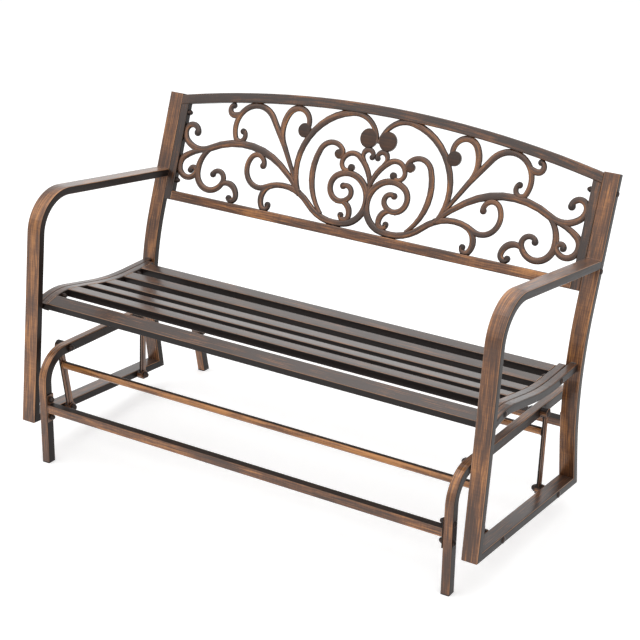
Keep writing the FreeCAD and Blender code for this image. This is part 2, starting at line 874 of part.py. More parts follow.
def arch_height(radius, x):
    """Height of an arc of the top rail at a distance from the middle."""
    return arch_centre_height + root(radius * radius - x * x)


def lay_back(node):
    """Turn a flat piece up into the plane of the uprights."""
    node.Placement = Placement(
        Vector(0, panel_origin[0].value, panel_origin[1].value),
        Rotation(Vector(1, 0, 0), panel_angle.value),
    )
    node.setExpression("Placement.Base.y", panel_origin[0].text)
    node.setExpression("Placement.Base.z", panel_origin[1].text)
    node.setExpression("Placement.Rotation.Angle", panel_angle.text)


def flat_tube(label, outer, inner, outer_arcs=None, inner_arcs=None):
    """A tube of the back panel from its flat outline, hollow inside a smaller outline."""
    body = new_body(label)
    shell = new_sketch(body, "Outline", "XY_Plane")
    draw_outline(shell, outer, outer_arcs)
    pad(body, shell, size("side_tube_depth"), both_ways=True)
    hollow = new_sketch(body, "Hollow", "XY_Plane")
    draw_outline(hollow, inner, inner_arcs)
    cut = body.newObject("PartDesign::Pocket", "Cut")
    cut.Profile = hollow
    cut.Midplane = True
    length = size("side_tube_depth") - tube_wall * 2
    cut.Length = length.value
    cut.setExpression("Length", length.text)
    lay_back(body)
    return body


def back_frame():
    """Bottom rail, two stiles and the arched top rail of the back panel."""
    wall = tube_wall
    flat_tube(
        "back_bottom_rail",
        [(-stile_inner, Size(0)), (stile_inner, Size(0)),
         (stile_inner, back_rail_width), (-stile_inner, back_rail_width)],
        [(-stile_inner, wall), (stile_inner, wall),
         (stile_inner, back_rail_width - wall), (-stile_inner, back_rail_width - wall)],
    )
    top_radius = size("back_arch_radius") + back_rail_width / 2
    under_radius = size("back_arch_radius") - back_rail_width / 2
    outline = []
    for edge, radii in (
        (panel_edge, (under_radius, top_radius)),
        (panel_edge - wall, (under_radius + wall, top_radius - wall)),
    ):
        under, top = [arch_height(radius, edge) for radius in radii]
        corners = [(edge, under), (edge, top), (-edge, top), (-edge, under)]
        outline.append((corners, {1: (radii[1], 1), 3: (radii[0], -1)}))
    (outer, outer_arcs), (inner, inner_arcs) = outline
    flat_tube("back_top_rail", outer, inner, outer_arcs, inner_arcs)
    for name, sign in SIDES:
        near, far = stile_inner * sign, panel_edge * sign
        corners = [
            (near, Size(0)), (far, Size(0)),
            (far, arch_height(under_radius, panel_edge)), (near, arch_height(under_radius, stile_inner)),
        ]
        near_wall, far_wall = (stile_inner + wall) * sign, (panel_edge - wall) * sign
        hollow_top = arch_height(under_radius, panel_edge) - wall
        stile = flat_tube(
            f"back_stile_{name}", corners,
            [(near_wall, wall), (far_wall, wall), (far_wall, hollow_top), (near_wall, hollow_top)],
            {2: (under_radius, sign)},
        )
        holes = new_sketch(stile, "Bores", "YZ_Plane")
        for height in back_bolt_heights:
            draw_section(holes, (height, Size(0)), OCTAGON, round_bolt_hole)
        cut_through(stile, holes)


def fasteners():
    """All bolts and nuts, which run along X."""
    seat_nut_face = side_bar_inner_face - size("panel_clearance")
    carriage_bolts("seat", seat_bolt_places, seat_nut_face, support_bar_face)
    carriage_bolts("back", back_bolt_places, stile_inner, outer_face)
    head_start = hub_outer_end + size("running_gap")
    pivot_bolts("top", top_pivots, base_inner_face, head_start, size("pivot_head_length"))
    nut_start = hub_inner_end - size("running_gap")
    pivot_bolts("low", low_pivots, nut_start, outer_face, size("bolt_head_length"))


# Scrollwork of the back, for the half with positive x; the other half mirrors it.
# Each scroll is one bar bent in arcs: where it starts, which way it heads in degrees,
# and then (radius, turn in degrees) for each bend, positive to the left.
SCROLLS = {
    "crown sweep": ((5, 254), 75, [(72, -85), (160, -59), (132, -53)]),
    "trunk": ((73, 129), 150, [
        (17, 159), (33, 199), (61, 196), (126, 58), (118, -69), (45, 150), (23, 151),
    ]),
    "long branch": ((195, 91), 46, [(364, -14), (221, -60), (67, 66), (33, 44), (20, 182)]),
    "lower branch": ((467, 163), -23, [(72, -74), (43, -148), (19, -176)]),
    "corner branch": ((500, 146), -7, [(124, -29), (29, -201), (10, -205)]),
    "foot curl": ((432, 70), 142, [(32, 120), (12, 146)]),
    "high branch": ((221, 129), 59.5, [(1014, -9), (61, -166), (15, -210)]),
    "shoulder curl": ((404, 262), -57, [(32, 59), (13, 156)]),
    "crown branch": ((266, 202), 57, [(71, 64), (34, 167)]),
    "hanging curl": ((283, 89), -22, [(34, -104), (11, -151)]),
    "inner branch": ((129, 58), 45, [(134, 68), (37, 117)]),
    "heart sweep": ((1, 146), 76, [(101, -43), (30, -108), (17, -155)]),
    "heart bud": ((32, 205), 59, [(14, 225)]),
    "base curl": ((76, 91), 169, [(28, 110), (12, 158)]),
}
# Round bosses of the casting: centre and radius
BOSSES = [((27, 253), 21), ((213, 243), 15), ((103, 203), 10), ((60, 176), 8)]

# Places across the panel where scrolls are welded to its rails
BOTTOM_WELDS = (79, 289, 392)
TOP_WELDS = (78, 243, 370)


def fitted(point):
    """A drawn point of the scrollwork, spread to the opening that the frame leaves."""
    spread = stile_inner.value / DRAWN_HALF_WIDTH
    return Vector(point.x * spread, fitted_height(point.y).value, 0)


def bar_outline(start, heading, bends):
    """The face of a bar that narrows towards its tip along a chain of bends, in short flats."""
    here = Vector(start[0], start[1], 0)
    way = math.radians(heading)
    stations = [(here, way)]
    for radius, turn in bends:
        side = math.copysign(1, turn)
        centre = here + heading_vector(way + side * math.pi / 2) * radius
        count = math.ceil(abs(turn) / SIZES["scroll_flat_turn"])
        for _ in range(count):
            way += math.radians(turn) / count
            here = centre + heading_vector(way - side * math.pi / 2) * radius
            stations.append((here, way))
    narrowing = (SIZES["scroll_tip_width"] / SIZES["scroll_bar_width"] - 1) / (len(stations) - 1)
    left, right = [], []
    for number, (point, angle) in enumerate(stations):
        half = SIZES["scroll_bar_width"] / 2 * (1 + narrowing * number)
        left.append(point + heading_vector(angle + math.pi / 2) * half)
        right.append(point + heading_vector(angle - math.pi / 2) * half)
    tip = [here + heading_vector(way + math.radians(angle)) * half for angle in (30, -30)]
    corners = [fitted(corner) for corner in left + tip + right[::-1]]
    return Part.Face(Part.makePolygon(corners + corners[:1]))


def heading_vector(angle):
    return Vector(math.cos(angle), math.sin(angle), 0)


def weld_pads():
    """Blocks that join the scrolls to the rails; the window later cuts them off at the rails."""
    width = SIZES["scroll_weld_width"]
    height = SIZES["scroll_weld_height"] * back_opening_height.value / DRAWN_HEIGHT
    rail_edge = back_rail_width.value
    arch_radius = as_size(SIZES["back_arch_radius"] - rail_edge / 2)
    spread = stile_inner.value / DRAWN_HALF_WIDTH
    edges = [(x * spread, rail_edge) for x in BOTTOM_WELDS]
    edges += [
        (x * spread, arch_height(arch_radius, as_size(x * spread)).value) for x in TOP_WELDS
    ]
    return [
        Part.Face(Part.makePolygon([
            Vector(x + width / 2 * right, y + height * up, 0)
            for right, up in ((-1, -1), (1, -1), (1, 1), (-1, 1), (-1, -1))
        ]))
        for x, y in edges
    ]


def panel_window():
    """The opening that the back panel's frame leaves for the scrollwork."""
    x, low = stile_inner.value, back_rail_width.value
    radius = SIZES["back_arch_radius"] - low / 2
    high = arch_height(as_size(radius), stile_inner).value
    crown = arch_centre_height.value + radius
    top = Part.Arc(Vector(x, high, 0), Vector(0, crown, 0), Vector(-x, high, 0)).toShape()
    left = Part.makeLine(Vector(-x, high, 0), Vector(-x, low, 0))
    bottom = Part.makeLine(Vector(-x, low, 0), Vector(x, low, 0))
    right = Part.makeLine(Vector(x, low, 0), Vector(x, high, 0))
    return Part.Face(Part.Wire([top, left, bottom, right]))


def back_scrollwork():
    """The cast scroll panel: bars and bosses joined in one flat piece inside the frame."""
    faces = [bar_outline(*scroll) for scroll in SCROLLS.values()]
    for centre, radius in BOSSES:
        middle = Vector(centre[0], centre[1], 0)
        rim = [
            fitted(middle + heading_vector(math.radians(step * SIZES["scroll_flat_turn"])) * radius)
            for step in range(round(360 / SIZES["scroll_flat_turn"]))
        ]
        faces.append(Part.Face(Part.makePolygon(rim + rim[:1])))
    faces += weld_pads()
    faces += [face.mirror(Vector(0, 0, 0), Vector(1, 0, 0)) for face in faces]
    thickness = SIZES["scroll_thickness"]
    middle_plane = Vector(0, 0, -thickness / 2)
    window = panel_window()
    for face in faces + [window]:
        face.translate(middle_plane)
    bars = [face.extrude(Vector(0, 0, thickness)) for face in faces]
    joined = bars[0].multiFuse(bars[1:])
    casting = joined.common(window.extrude(Vector(0, 0, thickness))).removeSplitter()
    panel = document.addObject("Part::Feature", "back_scroll_panel")
    panel.Label = "back_scroll_panel"
    panel.Shape = casting
    lay_back(panel)
    nodes.append(panel)


def write_nodes():
    document.recompute()
    for item in document.Objects:
        if "Invalid" in item.State or "Error" in item.State:
            raise RuntimeError(f"{item.Label} of {[p.Label for p in item.InList]} failed: {item.State}")
        base = getattr(item, "BaseFeature", None)
        if item.TypeId == "PartDesign::Pocket" and base is not None:
            if item.Shape.Volume > base.Shape.Volume - 1:
                raise RuntimeError(f"{item.Label} of {item.getParentGeoFeatureGroup().Label} cuts nothing")
    os.makedirs("parts", exist_ok=True)
    for node in nodes:
        if node.Shape.isNull() or not node.Shape.isValid():
            raise RuntimeError(f"{node.Label} has no valid shape")
        node.Shape.exportStep(f"parts/{node.Label}.step")


base_sides()
foot_plugs()
stretchers()
rockers()
side_frames()
seat_bars()
slats()
back_frame()
back_scrollwork()
fasteners()
write_nodes()
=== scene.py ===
"""Glider bench: the finished look of a two-seat steel glider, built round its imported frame.

X runs along the seat, Y from front to back and Z up, in metres, with the origin on the floor.
"""

import math

import bmesh
import bpy
from bpy.props import FloatProperty, FloatVectorProperty, IntProperty, PointerProperty
from mathutils import Matrix, Vector


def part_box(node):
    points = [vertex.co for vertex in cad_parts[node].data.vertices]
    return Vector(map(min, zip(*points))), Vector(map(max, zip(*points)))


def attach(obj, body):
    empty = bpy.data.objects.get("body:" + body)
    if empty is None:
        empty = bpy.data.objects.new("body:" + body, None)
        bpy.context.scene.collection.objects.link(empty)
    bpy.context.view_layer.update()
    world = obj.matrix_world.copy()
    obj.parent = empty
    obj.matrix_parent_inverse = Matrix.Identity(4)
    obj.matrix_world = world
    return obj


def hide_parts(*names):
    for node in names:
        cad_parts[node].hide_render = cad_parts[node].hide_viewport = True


bl_info = {
    "name": "Glider Bench",
    "version": (1, 0, 0),
    "blender": (4, 5, 0),
    "location": "View3D > Sidebar > Glider Bench",
    "description": "Builds the tubes, scrollwork, rockers and fasteners of a garden glider bench",
    "category": "Object",
}

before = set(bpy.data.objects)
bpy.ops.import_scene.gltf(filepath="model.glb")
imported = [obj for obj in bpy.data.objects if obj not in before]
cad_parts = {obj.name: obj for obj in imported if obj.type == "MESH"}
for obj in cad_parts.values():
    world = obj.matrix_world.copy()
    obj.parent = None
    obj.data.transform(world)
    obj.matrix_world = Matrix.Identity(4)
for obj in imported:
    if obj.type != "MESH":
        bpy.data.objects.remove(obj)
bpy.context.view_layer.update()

X_AXIS = Vector((1, 0, 0))
Y_AXIS = Vector((0, 1, 0))
Z_AXIS = Vector((0, 0, 1))
SIDES = (("left", -1), ("right", 1))
MM = 0.001
# Vertices nearer than this to each other are merged, and those nearer to a cut lie on it
TOUCHING = 1e-6
# How near to a cutting plane or a turning axis a vertex counts as being on it
ON_IT = 1e-7
# How far a piece's box may differ from its CAD node's box; weld beads stand out by 2 mm, and
# the scrolls are drawn wider and taller than the CAD casting, into the rails and stiles
SEATED = 0.0022
CASTING_SEATED = 0.0075
# Edges are sharp above these angles, in degrees, on most pieces and on the casting
SHARP = 35
CASTING_SHARP = 50
# Turn of one step of a bend, of a bend with the long bend's radius or more, and of the arch
BEND_STEP = math.radians(7)
LONG_BEND_STEP = math.radians(2.5)
ARCH_STEP = math.radians(1)
LONG_BEND = 0.2
# How far the arch is turned past the panel's edges before it is cut back
ARCH_OVERRUN = 0.01
# Steps round each kind of turned piece
TUBE_STEPS = 32
DISC_STEPS = 28
HEAD_STEPS = 24
CAP_STEPS = 20
SHANK_STEPS = 16
BEAD_STEPS = 12
# Small edge roundings
PLATE_EDGE = 0.0008
LINK_EDGE = 0.0012
RIB_EDGE = 0.0016
HUB_EDGE = 0.0008
NUT_EDGE = 0.0004
# Where a rounded rim's middle point lies, as a share of the rounding
RIM_MIDDLE = 0.3
# Weld beads: radius, distance between ripples, and radius between them as a share
WELD_RADIUS = 0.0017
WELD_PITCH = 0.0032
WELD_VALLEY = 0.78
FINE_WELD = 0.0008
# How far a bead stops short of a tube's corner line, and its reach along a stretcher's edge
WELD_INSET = 0.0006
WELD_REACH = 0.8
# The weld collar of a cross tube: its height half-way as a share of the bead's, and its end's
# radius as a share of the tube's, just under the surface
COLLAR_SHOULDER = 0.8
COLLAR_END = 0.98
# Share of a round piece's radius inside which a vertex belongs to an end face
END_FACE = 0.99
# Outlines of a bolt's dome and of a nut's cap, in shares of their height and radius
DOME = ((0, 0), (0, 0.96), (0.12, 1), (0.38, 0.90), (0.66, 0.70), (0.88, 0.40), (1, 0))
CAP = ((0, 0), (0, 1), (0.25, 0.97), (0.6, 0.80), (0.88, 0.48), (1, 0))
# A nut's hexagon and a bolt's reach into it, as shares of its length, and its cap's radius
HEXAGON_SHARE = 0.5
SHANK_SHARE = 0.6
CAP_SHARE = 0.80
# Place, side and watts of each square lamp, and the point that all of them face
LAMPS = {
    "key_lamp": ((-1.6, -2.4, 4.2), 6.0, 88.0),
    "fill_lamp": ((3.2, -1.6, 2.6), 4.0, 28.0),
    "top_lamp": ((0.0, 0.6, 3.8), 4.5, 60.0),
}
LAMP_AIM = Vector((0, 0, 0.4))
FLOOR_RADIUS = 14.0
# What the floor gives off to the camera and to gloss, and what dull faces get from around
FLOOR_LIFT = 0.42
SURROUNDINGS = 0.55
# The lens is given for a sensor of this width, in millimetres
SENSOR = 36.0


# Sizes and colours that a user may change
def length(name, description, default):
    return FloatProperty(name=name, description=description, default=default, unit="LENGTH")


def angle(name, description, degrees):
    return FloatProperty(
        name=name, description=description, default=math.radians(degrees), unit="ROTATION"
    )


def side_point(name, description, default):
    return FloatVectorProperty(
        name=name, description=description, default=default, size=2, unit="LENGTH"
    )


def linear(hex_colour):
    """An sRGB hex colour as linear red, green, blue."""
    shares = [int(hex_colour[place:place + 2], 16) / 255 for place in (1, 3, 5)]
    return tuple(
        share / 12.92 if share <= 0.04045 else ((share + 0.055) / 1.055) ** 2.4
        for share in shares
    )


def colour(name, description, hex_colour):
    return FloatVectorProperty(
        name=name, description=description, default=linear(hex_colour), size=3, subtype="COLOR",
        min=0, max=1,
    )


class TubeSizes(bpy.types.PropertyGroup):
    """Sections of the steel tubes"""

    side_width: length("Side tube width", "Width of the side frames' tube, across the bench", 0.040)
    side_depth: length("Side tube depth", "Depth of the side frames' tube", 0.020)
    base_width: length("Base tube width", "Width of the base's tube, across the bench", 0.022)
    base_depth: length("Base tube depth", "Depth of the base's tube", 0.025)
    bar_width: length("Seat bar width", "Width of the bars at the slats' ends", 0.020)
    bar_depth: length("Seat bar depth", "Depth of the bars at the slats' ends", 0.020)
    corner: length("Tube corner", "Radius of the tubes' rounded corners", 0.0028)
    stretcher: length("Stretcher", "Side of the stretchers' square tube", 0.022)
    cross_radius: length("Cross tube radius", "Radius of the rockers' round cross tubes", 0.0095)


class BaseSizes(bpy.types.PropertyGroup):
    """The standing base"""

    front_height: length("Front height", "Height of the top line at its front corner", 0.283)
    rear_height: length("Rear height", "Height of the top line at its rear corner", 0.263)
    top_depth: length("Top depth", "Distance between the two top corners", 0.609)
    bend: length("Bend", "Radius of the bends at the top corners", 0.068)
    foot_height: length("Foot height", "Thickness of the plugs under the legs", 0.003)
    stretcher_height: length("Stretcher height", "Height of the stretchers on the legs", 0.150)
    plate_height: length("Plate height", "Length of the stretchers' end plates", 0.072)
    plate_thickness: length("Plate thickness", "Thickness of the stretchers' end plates", 0.003)
    bolt_pitch: length("Bolt pitch", "Distance between the two bolts of a plate", 0.048)


class RockerSizes(bpy.types.PropertyGroup):
    """The rockers and their pivots"""

    front_top: side_point("Front top pivot", "Depth and height", (-0.2485, 0.2805))
    rear_top: side_point("Rear top pivot", "Depth and height", (0.0915, 0.2690))
    front_low: side_point("Front low pivot", "Depth and height", (-0.2175, 0.098235))
    rear_low: side_point("Rear low pivot", "Depth and height", (0.0825, 0.074119))
    width: length("Link width", "Width of the flat links", 0.022)
    thickness: length("Link thickness", "Thickness of the flat links", 0.005)
    rib_width: length("Rib width", "Width of the rib pressed into each link", 0.008)
    rib_height: length("Rib height", "How far the rib stands out on each face", 0.0015)
    hub: length("Hub radius", "Radius of the round hubs", 0.0125)
    hub_length: length("Hub length", "Length of the round hubs", 0.013)
    front_drop: length("Front drop", "From the front top pivot down to the cross tube", 0.058)
    rear_drop: length("Rear drop", "From the rear top pivot down to the cross tube", 0.048)


class SideSizes(bpy.types.PropertyGroup):
    """The side frames of the seat"""

    front: side_point("Front corner", "Depth and height of the front bottom corner", (-0.33275, 0.1075))
    rear: side_point("Rear corner", "Depth and height of the rear bottom corner", (0.1835, 0.0660))
    arm_corner: side_point("Arm corner", "Where the post's and the arm's lines meet", (-0.270, 0.6755))
    arm_bend: length("Arm bend", "Radius of the bend from post to arm", 0.095)
    arm_slope: angle("Arm slope", "Fall of the arm towards the back", 8.35)
    back_corner: side_point("Back corner", "Where the upright starts to lean", (0.143, 0.337))
    back_bend: length("Back bend", "Radius of the upright's long bend", 0.700)
    lean: angle("Lean", "Lean of the uprights", 19.9)
    upright: length("Upright", "Length of the uprights above their corner", 0.4885)
    cap: length("Cap", "Thickness of the caps on the uprights", 0.0025)


class SeatSizes(bpy.types.PropertyGroup):
    """The seat's curve and its slats"""

    nose_angle: angle("Nose angle", "Rise of the seat's front edge", 24.0)
    nose: side_point("Nose", "Corner of the seat line's front bend", (-0.237, 0.424))
    nose_bend: length("Nose bend", "Radius of the front bend", 0.190)
    dip: side_point("Dip", "Corner of the seat line's rear bend", (-0.0115, 0.3775))
    dip_bend: length("Dip bend", "Radius of the rear bend", 0.640)
    slat_width: length("Slat width", "Width of a slat", 0.040)
    slat_depth: length("Slat depth", "Depth of a slat", 0.020)
    front_slat: length("Front slat", "Depth of the front slat's middle line", -0.2675)
    second_slat: length("Second slat", "Depth of the second slat's middle line", -0.188)
    pitch: length("Slat pitch", "Distance between the slats behind the front one", 0.0744)
    slats: IntProperty(name="Slats", description="Number of slats", default=6, min=2)
    tail: length("Seat bar tail", "How far the side bars run on behind the last slat", 0.0125)


class BackSizes(bpy.types.PropertyGroup):
    """The back panel and its scrollwork, measured up the uprights from the panel's lower edge"""

    start: length("Panel start", "From the uprights' corner up to the panel", 0.210)
    rail: length("Rail width", "Width of the top and bottom rails", 0.025)
    stile: length("Stile width", "Width of the side rails", 0.023)
    height: length("Panel height", "Height of the panel in its middle", 0.340)
    arch: length("Arch", "Radius of the top rail's centre line", 2.880)
    bar_depth: length("Scroll bar depth", "Thickness of the cast bars", 0.010)
    bolt_inset: length("Bolt inset", "From the panel's lower edge to its first bolt", 0.054)
    bolt_pitch: length("Bolt pitch", "Distance between the panel's bolts", 0.181)


class FastenerSizes(bpy.types.PropertyGroup):
    """Bolts and nuts"""

    head: length("Head radius", "Radius of the carriage bolts' domed heads", 0.0075)
    head_length: length("Head length", "Height of the domed heads", 0.004)
    pivot_head: length("Pivot head radius", "Radius of the pivot bolts' heads", 0.0085)
    pivot_head_length: length("Pivot head length", "Height of the pivot bolts' heads", 0.0038)
    nut: length("Nut radius", "Radius of the nuts over their corners", 0.0075)
    pivot_nut: length("Pivot nut radius", "Radius of the pivot nuts over their corners", 0.009)
    nut_length: length("Nut length", "Length of a cap nut", 0.012)
    shank: length("Shank radius", "Radius of the bolts", 0.004)
    pivot_shank: length("Pivot shank radius", "Radius of the pivot bolts", 0.005)


class FinishColours(bpy.types.PropertyGroup):
    """Colours of the finishes"""

    enamel: colour("Dark enamel", "Dark coat under the copper", "#1c1716")
    copper: colour("Copper brown", "Copper pigment brushed thinly over the enamel", "#744a2d")
    gold: colour("Copper gold", "Copper pigment where the brush left most", "#b87d44")
    # the rubbed edges are partly real wear and partly a painted highlight where the rounded corners
    # catch the light
    edge: colour("Rubbed edge", "Copper on the rubbed edges", "#c08f68")
    nut: colour("Bolt coat", "Dark coat of bolts and nuts", "#211d1d")
    plastic: colour("Foot plastic", "Plastic of the foot plugs", "#2c2422")
    floor: colour("Floor", "Studio floor", "#f2f2f2")


class ViewSettings(bpy.types.PropertyGroup):
    """The photograph's view"""

    azimuth: angle("Azimuth", "Camera's turn round the bench", 31.26)
    elevation: angle("Elevation", "Camera's height above the horizon", 22.03)
    roll: angle("Roll", "Camera's turn about its own line of sight", 1.04)
    place: FloatVectorProperty(
        name="Camera place", description="Where the camera stands",
        default=(1.9298, -3.1420, 1.9418), unit="LENGTH",
    )
    lens: FloatProperty(
        name="Focal length", description="Focal length on a 36 mm sensor, in millimetres",
        default=93.12,
    )
    shift: FloatVectorProperty(
        name="Shift", description="Offset of the photograph's centre, in frame widths",
        default=(-0.0005, -0.0312), size=2,
    )


class BenchSettings(bpy.types.PropertyGroup):
    """All sizes and colours of the bench"""

    tubes: PointerProperty(type=TubeSizes)
    base: PointerProperty(type=BaseSizes)
    rockers: PointerProperty(type=RockerSizes)
    sides: PointerProperty(type=SideSizes)
    seat: PointerProperty(type=SeatSizes)
    back: PointerProperty(type=BackSizes)
    fasteners: PointerProperty(type=FastenerSizes)
    colours: PointerProperty(type=FinishColours)
    view: PointerProperty(type=ViewSettings)


# Materials
def set_inputs(tree, node, inputs):
    """Link or set a node's inputs, by name or number. A node stands for its first output."""
    for key, value in inputs.items():
        if isinstance(value, bpy.types.Node):
            value = value.outputs[0]
        if isinstance(value, bpy.types.NodeSocket):
            tree.links.new(value, node.inputs[key])
        else:
            node.inputs[key].default_value = value


def add_node(tree, kind, settings=None, **inputs):
    """Add a node and set its own properties and its inputs, of which _0 is the first."""
    node = tree.nodes.new(kind)
    for key, value in (settings or {}).items():
        setattr(node, key, value)
    set_inputs(tree, node, {
        int(key[1:]) if key[0] == "_" else key: value for key, value in inputs.items()
    })
    return node


def new_material(name):
    """An empty material with a Principled BSDF, ready for its nodes."""
    material = bpy.data.materials.new(name)
    material.use_nodes = True
    tree = material.node_tree
    tree.nodes.clear()
    shader = add_node(tree, "ShaderNodeBsdfPrincipled")
    add_node(tree, "ShaderNodeOutputMaterial", Surface=shader)
    return material, tree, shader


def opaque(rgb):
    """A colour with full alpha."""
    return (*rgb, 1.0)


def ray_is(tree, *kinds):
    """A node that gives 1 for the named kinds of ray and 0 for the others."""
    path = add_node(tree, "ShaderNodeLightPath")
    found = path.outputs[kinds[0]]
    for kind in kinds[1:]:
        found = add_node(
            tree, "ShaderNodeMath", {"operation": "MAXIMUM"}, _0=found, _1=path.outputs[kind],
        )
    return found


SMOOTH = {"interpolation_type": "SMOOTHSTEP"}
MULTIPLY = {"operation": "MULTIPLY"}


def brush_noises(tree):
    """Noises of the bristle marks, of the crosswise marks and of the unloaded patches."""
    # metres along, across and out of the piece
    brushing = add_node(tree, "ShaderNodeAttribute", {"attribute_name": "brushing"})
    noises = []
    # each noise's shift, the size of its marks along, across and out, its detail and roughness
    for shift, sizes, detail, roughness in (
        # bristle marks 70 mm long; the real 0.5 mm wouldn't show, so they are 3 mm apart
        ((0.0, 0.0, 0.0), (0.070, 0.003, 0.003), 3.0, 0.65),
        # marks of the first coat's crosswise strokes, 3 mm apart and 25 mm long
        ((5.3, 1.1, 8.9), (0.003, 0.025, 0.025), 2.0, 0.6),
        # unloaded patches 120 mm long and 30 mm wide
        ((3.1, 7.7, 1.9), (0.120, 0.030, 0.030), 2.0, 0.5),
    ):
        mapped = add_node(
            tree, "ShaderNodeMapping", Vector=brushing.outputs["Vector"],
            Location=shift, Scale=[1 / size for size in sizes],
        )
        noises.append(add_node(
            tree, "ShaderNodeTexNoise", Vector=mapped, Scale=1.0, Detail=detail,
            Roughness=roughness,
        ))
    return noises


def brushed_bronze_enamel(name, load, least, copper_from=0.80, edge_share=1.0):
    """Steel with a baked dark enamel, over which copper paint was dragged with a dry brush.

    The eye sees near-black flanks, brown faces with hair-thin streaks along each tube and
    fainter ones across it, golden patches where the brush unloaded, a thin copper line on each
    rubbed edge, and a clear coat that pales at a glancing view. The dark flanks are partly this
    two-tone brushing and partly painted shade, and the edge lines partly wear and partly a
    painted highlight. The load is how full the brush was, least the copper in its driest marks,
    copper_from where in the section the copper starts, and edge_share how strong the rubbed,
    partly painted-highlight edge lines are.
    """
    colours = bench().colours
    material, tree, shader = new_material(name)
    # where in the piece's section a point lies, from -1 to 1 across it and out of it
    section = add_node(tree, "ShaderNodeAttribute", {"attribute_name": "section"})
    place = add_node(tree, "ShaderNodeSeparateXYZ", _0=section.outputs["Vector"])
    span, rise = [
        add_node(tree, "ShaderNodeMath", {"operation": "ABSOLUTE"}, _0=place.outputs[axis])
        for axis in ("X", "Y")
    ]
    streaks, hatching, patches = brush_noises(tree)
    marks = add_node(
        tree, "ShaderNodeMix", {"data_type": "FLOAT"}, _0=0.15, _2=streaks, _3=hatching,
    )
    drag = add_node(
        tree, "ShaderNodeMath", {"operation": "MULTIPLY_ADD"}, _0=patches, _1=0.6, _2=marks,
    )
    laden = add_node(tree, "ShaderNodeMath", {"operation": "ADD"}, _0=drag, _1=load)
    # the brush went over the broad faces, so the narrow flanks stay dark; these dark flanks are partly
    # painted shade
    broad = add_node(
        tree, "ShaderNodeMapRange", SMOOTH, Value=rise,
        _1=copper_from, _2=copper_from + 0.17, _3=0.04, _4=1.0,
    )
    copper_share = add_node(
        tree, "ShaderNodeMapRange", SMOOTH, Value=laden, _1=0.66, _2=0.96, _3=least, _4=1.0,
    )
    copper = add_node(tree, "ShaderNodeMath", MULTIPLY, _0=broad, _1=copper_share)
    # gold is where the brush was fullest
    gold = add_node(
        tree, "ShaderNodeMapRange", SMOOTH, Value=laden, _1=0.84, _2=1.14, _3=0.0, _4=1.0,
    )
    gilding = add_node(tree, "ShaderNodeMath", MULTIPLY, _0=broad, _1=gold)
    # handling rubs the paint bright on the corners, in a line about 1.5 mm wide; this line is partly
    # such wear and partly a painted highlight where the rounded corners catch the light
    span_edge = add_node(
        tree, "ShaderNodeMapRange", SMOOTH, Value=span, _1=0.89, _2=0.96, _3=0.0, _4=1.0,
    )
    rise_edge = add_node(
        tree, "ShaderNodeMapRange", SMOOTH, Value=rise, _1=0.86, _2=0.95, _3=0.0, _4=1.0,
    )
    worn_and_highlit_edges = add_node(tree, "ShaderNodeMath", MULTIPLY, _0=span_edge, _1=rise_edge)
    broken = add_node(
        tree, "ShaderNodeMapRange", Value=laden, _1=0.65, _2=0.95,
        _3=0.6 * edge_share, _4=edge_share,
    )
    rubbed = add_node(tree, "ShaderNodeMath", MULTIPLY, _0=worn_and_highlit_edges, _1=broken)
    paint = opaque(colours.enamel)
    for share, coat in ((copper, colours.copper), (gilding, colours.gold), (rubbed, colours.edge)):
        paint = add_node(
            tree, "ShaderNodeMix", {"data_type": "RGBA"}, _0=share, _6=paint, _7=opaque(coat),
        ).outputs[2]
    # copper pigment is metal flake in a binder, so it is half as metallic as bare metal
    metal = add_node(tree, "ShaderNodeMath", MULTIPLY, _0=copper, _1=0.45)
    satin = add_node(tree, "ShaderNodeMapRange", Value=marks, _1=0.35, _2=0.65, _3=0.32, _4=0.46)
    # the clear coat was sprayed at the broad faces, so the flanks are duller; the duller flanks are
    # partly painted shade as well
    clear = add_node(tree, "ShaderNodeMapRange", Value=broad, _1=0.0, _2=1.0, _3=0.15, _4=1.0)
    # fine dust in the brush marks pales the faces seen at a glancing angle
    dust = add_node(tree, "ShaderNodeMath", MULTIPLY, _0=broad, _1=0.17)
    # bristle marks stand about 0.05 mm proud
    relief = add_node(tree, "ShaderNodeBump", Height=marks, Strength=0.25, Distance=0.0002)
    set_inputs(tree, shader, {
        "Base Color": paint,
        "Metallic": metal,
        "Roughness": satin,
        "Specular IOR Level": 0.10,
        "Coat Weight": clear,
        "Coat Roughness": 0.24,
        "Sheen Weight": dust,
        "Sheen Roughness": 0.3,
        "Normal": relief,
    })
    return material


def black_oxide_steel():
    """Bolts and cap nuts of steel, blackened in a hot bath and oiled: near black, softly shiny."""
    colours = bench().colours
    material, tree, shader = new_material("black oxide steel")
    where = add_node(tree, "ShaderNodeTexCoord")
    # handling marks a few millimetres across
    marks = add_node(
        tree, "ShaderNodeTexNoise", Vector=where.outputs["Object"], Scale=320.0, Detail=3.0,
    )
    worn = add_node(tree, "ShaderNodeMapRange", Value=marks, _1=0.45, _2=0.8, _3=0.0, _4=0.5)
    coat = add_node(
        tree, "ShaderNodeMix", {"data_type": "RGBA"}, _0=worn,
        _6=opaque(colours.nut), _7=opaque(colours.copper),
    )
    sheen = add_node(tree, "ShaderNodeMapRange", Value=marks, _1=0.3, _2=0.7, _3=0.28, _4=0.42)
    set_inputs(tree, shader, {
        "Base Color": coat.outputs[2], "Roughness": sheen, "Metallic": 0.5,
    })
    return material


